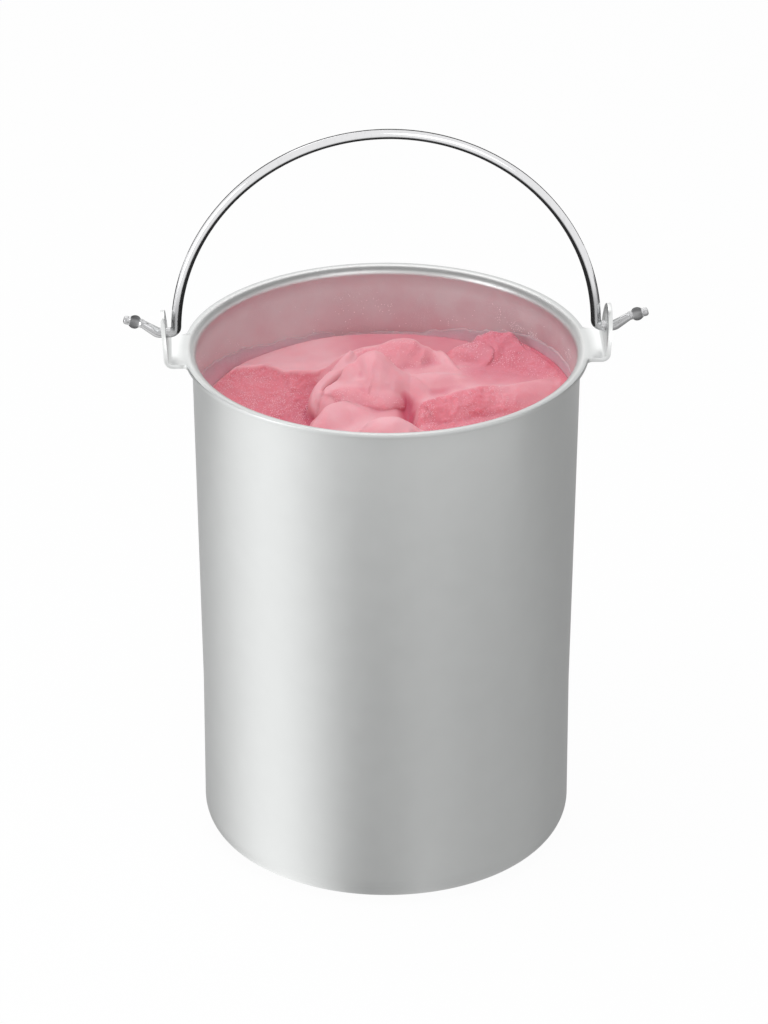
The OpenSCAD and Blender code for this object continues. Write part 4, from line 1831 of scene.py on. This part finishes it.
@dataclass
class Studio:
    """Camera, lights, floor and flags round the part.

    Attributes:
        arch: Middle line of the bail's arch, each x and z in metres.
        distance: Distance of the camera from its aim in metres.
        elevation: Height of the camera over level in degrees.
        heading: Bearing of the camera in degrees, from 0 in front, towards the right.
        aim: The point that the camera faces.
        lens: Focal length in millimetres.
        floor_tones: Bearing of a part of the wall and the grey that it mirrors.
    """

    arch: list
    distance: float = 2.0
    elevation: float = 26.95
    heading: float = -2.2
    aim: tuple = (-0.00084, 0.0, 0.128)
    lens: float = 190.9
    floor_tones: tuple = (
        (-90, 0.44), (-78, 0.54), (-72, 0.63), (-65, 0.80), (-58, 1.03), (-50, 1.26), (-43, 1.38),
        (-37, 1.38), (-32, 1.28), (-27, 1.14), (-20, 0.88), (-14, 0.64), (-8, 0.54), (0, 0.58),
        (10, 0.71), (16, 0.67), (23, 0.62), (37, 0.58), (50, 0.55), (60, 0.47), (67, 0.44),
        (75, 0.42), (90, 0.38),
    )

    def camera(self) -> None:
        """Sets up the camera at the viewing angle."""
        data = bpy.data.cameras.new("camera")
        data.lens = self.lens
        data.sensor_width = 36.0
        data.clip_end = 50.0
        camera = bpy.data.objects.new("camera", data)
        bpy.context.scene.collection.objects.link(camera)
        up, side = math.radians(self.elevation), math.radians(self.heading)
        away = Vector((math.sin(side) * math.cos(up), -math.cos(side) * math.cos(up), math.sin(up)))
        camera.location = Vector(self.aim) + self.distance * away
        camera.rotation_euler = (-away).to_track_quat("-Z", "Y").to_euler()
        bpy.context.scene.camera = camera

    @staticmethod
    def softbox(
        name: str,
        place: tuple,
        aim: tuple,
        size: tuple,
        power: float,
        tint: tuple = (1, 1, 1),
        gloss: bool = True,
    ) -> None:
        """Adds a rectangular lamp.

        Args:
            name: Name of the lamp.
            place: Its place in metres.
            aim: The point that it faces.
            size: Its width and height.
            power: Its power in watts.
            tint: Its colour.
            gloss: Whether it makes highlights.
        """
        data = bpy.data.lights.new(name, "AREA")
        data.shape = "RECTANGLE"
        data.size, data.size_y = size
        data.energy = power
        data.color = tint
        lamp = bpy.data.objects.new(name, data)
        bpy.context.scene.collection.objects.link(lamp)
        lamp.location = place
        lamp.rotation_euler = (Vector(aim) - Vector(place)).to_track_quat("-Z", "Y").to_euler()
        lamp.visible_glossy = gloss

    @staticmethod
    def only_in_gloss(card: bpy.types.Object) -> None:
        """Gives a card a plain glow that only shows in reflections, and only from its front.

        Args:
            card: The card, with its grey stored as the attribute named tone.
        """
        material, graph, _ = new_material(card.name)
        tone = graph.add("ShaderNodeAttribute", attribute_name="tone").outputs["Fac"]
        glow = graph.add("ShaderNodeEmission", {"Color": rgba(1.0, 1.0, 1.0), "Strength": tone})
        clear = graph.add("ShaderNodeBsdfTransparent")
        behind = graph.add("ShaderNodeNewGeometry").outputs["Backfacing"]
        blend = graph.add("ShaderNodeMixShader", {0: behind, 1: glow.outputs[0], 2: clear.outputs[0]})
        output = next(n for n in graph.tree.nodes if n.type == "OUTPUT_MATERIAL")
        graph.tree.links.new(blend.outputs[0], output.inputs[0])
        card.data.materials.append(material)
        card.visible_camera = False
        card.visible_shadow = False
        card.visible_diffuse = False

    def card(self, name: str, corners: list, tone: float) -> None:
        """Adds a plain card.

        Args:
            name: Name of the card.
            corners: Its outline in metres, anticlockwise as seen from its front.
            tone: Its grey, from 0 to 1.
        """
        card = make_piece(name, np.array(corners) / MM, [tuple(range(len(corners)))], False)
        put_float(card, "tone", np.full(len(corners), tone))
        self.only_in_gloss(card)

    def floor_card(self) -> None:
        """Adds a card on the floor whose grey changes with the part of the wall that mirrors it."""
        known = np.array(self.floor_tones)
        count = 91
        bearing = np.linspace(-90.0, 90.0, count)
        tone = np.interp(bearing, known[:, 0], known[:, 1])
        near, far = np.radians(bearing), np.radians(2.0 * bearing)
        reach = 0.385 + 0.415 * smoothstep(0.75, 1.1, tone)
        out = np.column_stack([np.sin(near), -np.cos(near)])
        mirrored = np.column_stack([np.sin(far), -np.cos(far)])
        rows = [0.01 * out, 0.07 * out, 0.07 * out + reach[:, None] * mirrored]
        points = np.vstack([np.column_stack([row, np.full(count, 0.001)]) for row in rows])
        faces = [
            (k * count + i, (k + 1) * count + i, (k + 1) * count + i + 1, k * count + i + 1)
            for k in range(len(rows) - 1)
            for i in range(count - 1)
        ]
        card = make_piece("floor_card", points / MM, faces, False)
        put_float(card, "tone", np.tile(tone, len(rows)))
        self.only_in_gloss(card)

    @staticmethod
    def sector(start: float, end: float, inner: float, outer: float, z: float) -> list:
        """Corners of a flat card shaped like part of a ring.

        Args:
            start: First bearing in degrees, from 0 in front, towards the right.
            end: Last bearing.
            inner: Inner radius in metres.
            outer: Outer radius in metres.
            z: Height in metres.

        Returns:
            The corners, anticlockwise from above.
        """
        turns = np.radians(np.linspace(start, end, 33))
        rim = [(outer * math.sin(a), -outer * math.cos(a), z) for a in turns]
        hub = [(inner * math.sin(a), -inner * math.cos(a), z) for a in turns[::-1]]
        return rim + hub

    @staticmethod
    def band(path: list, inner: float, outer: float, y: float) -> list:
        """Corners of an upright card that follows an arch.

        Args:
            path: Points of the arch from the left to the right, each x and z in metres.
            inner: How far the card starts outside the arch.
            outer: How far it reaches outside the arch.
            y: Where it stands.

        Returns:
            The corners, anticlockwise as seen from the front.
        """
        points = np.array(path)
        along = np.gradient(points, axis=0)
        along /= np.linalg.norm(along, axis=1)[:, None]
        away = np.column_stack([-along[:, 1], along[:, 0]])
        low, high = points + inner * away, points + outer * away
        return [(x, y, z) for x, z in low] + [(x, y, z) for x, z in high[::-1]]

    @staticmethod
    def world() -> None:
        """Lights the scene evenly and shows white behind it."""
        world = bpy.data.worlds.new("studio")
        world.use_nodes = True
        graph = Graph(world.node_tree)
        ambient = graph.add("ShaderNodeBackground", {"Color": rgba(0.96, 0.98, 1.0), "Strength": 0.55})
        white = graph.add("ShaderNodeBackground", {"Color": rgba(1.0, 1.0, 1.0), "Strength": 1.0})
        blend = graph.add("ShaderNodeMixShader", {0: seen_directly(graph)})
        graph.tree.links.new(ambient.outputs[0], blend.inputs[1])
        graph.tree.links.new(white.outputs[0], blend.inputs[2])
        output = graph.add("ShaderNodeOutputWorld")
        graph.tree.links.new(blend.outputs[0], output.inputs[0])
        bpy.context.scene.world = world

    def build(self, effects: Effects) -> None:
        """Builds the whole studio.

        Args:
            effects: The shared node groups.
        """
        self.camera()
        self.world()
        mouth = (0.0, 0.0, 0.19)
        body = (0.0, 0.0, 0.10)
        self.softbox("key_softbox", (-1.10, -0.50, 0.40), body, (0.50, 0.8), 4.5, (0.96, 0.98, 1.0))
        self.softbox("top_softbox", (-0.15, -0.20, 1.30), mouth, (1.0, 0.8), 7.5, gloss=False)
        self.softbox("back_sheen", (-0.25, 0.85, 1.00), mouth, (0.9, 0.5), 1.9)
        self.softbox("front_fill", (0.5, -1.3, 1.0), body, (0.8, 0.8), 2.5)
        self.floor_card()
        # Dark floor behind and beside the bowl, for the wire and the wall's right edge to mirror.
        self.card("flag_back", self.sector(112, 248, 0.47, 1.30, 0.0012), 0.03)
        self.card("flag_right", self.sector(76, 112, 0.47, 1.30, 0.0012), 0.22)
        # Dark mouth, which the inner side of the bail mirrors.
        self.card("flag_mouth", self.sector(-180, 180, 0.0, 0.072, 0.1962), 0.03)
        # Grey ring over the back of the rim, for the line along the flange.
        self.card("flag_above", self.sector(115, 245, 0.048, 0.079, 0.215)[::-1], 0.30)
        # Dark band close behind the arch, for the wire's edges.
        self.card("flag_arch", self.band(self.arch, -0.006, 0.016, 0.012), 0.05)
        half = 6000.0
        corners = [(-half, -half, 0.0), (half, -half, 0.0), (half, half, 0.0), (-half, half, 0.0)]
        floor = make_piece("floor", np.array(corners), [(0, 1, 2, 3)], False)
        floor.data.materials.append(PaleFloor().build(effects))
        view = bpy.context.scene.view_settings
        view.view_transform = "Standard"


def main() -> None:
    """Builds the part's looks piece by piece, then the studio."""
    logging.basicConfig(level=logging.INFO, format="%(name)s: %(message)s")
    effects = Effects()
    flange = next(m for m in frame["record"]["mounts"] if m["name"] == "flange_top")
    hinge = next(j for j in frame["joints"] if j["name"] == "bail_swing")
    rim_z = flange["pos_m"][2] / MM
    hole_z = hinge["pos_m"][2] / MM
    _, bowl_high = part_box("bowl")
    ice_low, ice_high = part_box("ice_cream")

    sheet = DrawnBowl(height=rim_z, flange_r=bowl_high.y / MM, hole_rise=hole_z - rim_z)
    bowl = sheet.build()
    bowl.data.materials.append(SatinAluminium(flange_r=bowl_high.y).build(effects))
    bowl.data.materials.append(FrostedLining(rim_z=rim_z * MM).build(effects))
    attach(bowl, Body.BOWL.value)
    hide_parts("bowl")
    log.info("bowl sheet: %d faces", len(bowl.data.polygons))

    wire = WireBail()
    bail = wire.build(hole_z, BrightWire().build(effects))
    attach(bail, Body.BAIL.value)
    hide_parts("bail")
    log.info("bail: %d faces", len(bail.data.polygons))

    fill = IceCreamFill(rim_z=rim_z, radius=ice_high.x / MM, foot_z=ice_low.z / MM)
    heap = fill.build()
    heap.data.materials.append(ChurnedIce().build(effects))
    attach(heap, Body.BOWL.value)
    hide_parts("ice_cream")
    log.info("ice cream: %d faces", len(heap.data.polygons))

    crystal = IceCrystal().build(effects)
    film = WallFilm(rim_z=rim_z, wall=sheet)
    residue = ChurnedIce(name="wall_residue", pale=(0.88, 0.50, 0.55), rosy=(0.80, 0.34, 0.41))
    rime = IceCrystal(name="wall_crystal", tone=(0.86, 0.78, 0.80))
    extras = (
        film.build(residue.build(effects)),
        fill.crumbs(Scatter("ice_crumbs", 5, 1.3, 0.10, 0.20), crystal),
        film.frost(Scatter("wall_frost", 8, 4.0, 0.06, 0.20), rime.build(effects)),
    )
    for extra in extras:
        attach(extra, Body.BOWL.value)
        log.info("%s: %d faces", extra.name, len(extra.data.polygons))

    Studio(arch=wire.arch(hole_z)).build(effects)


if __name__ == "__main__":
    main()
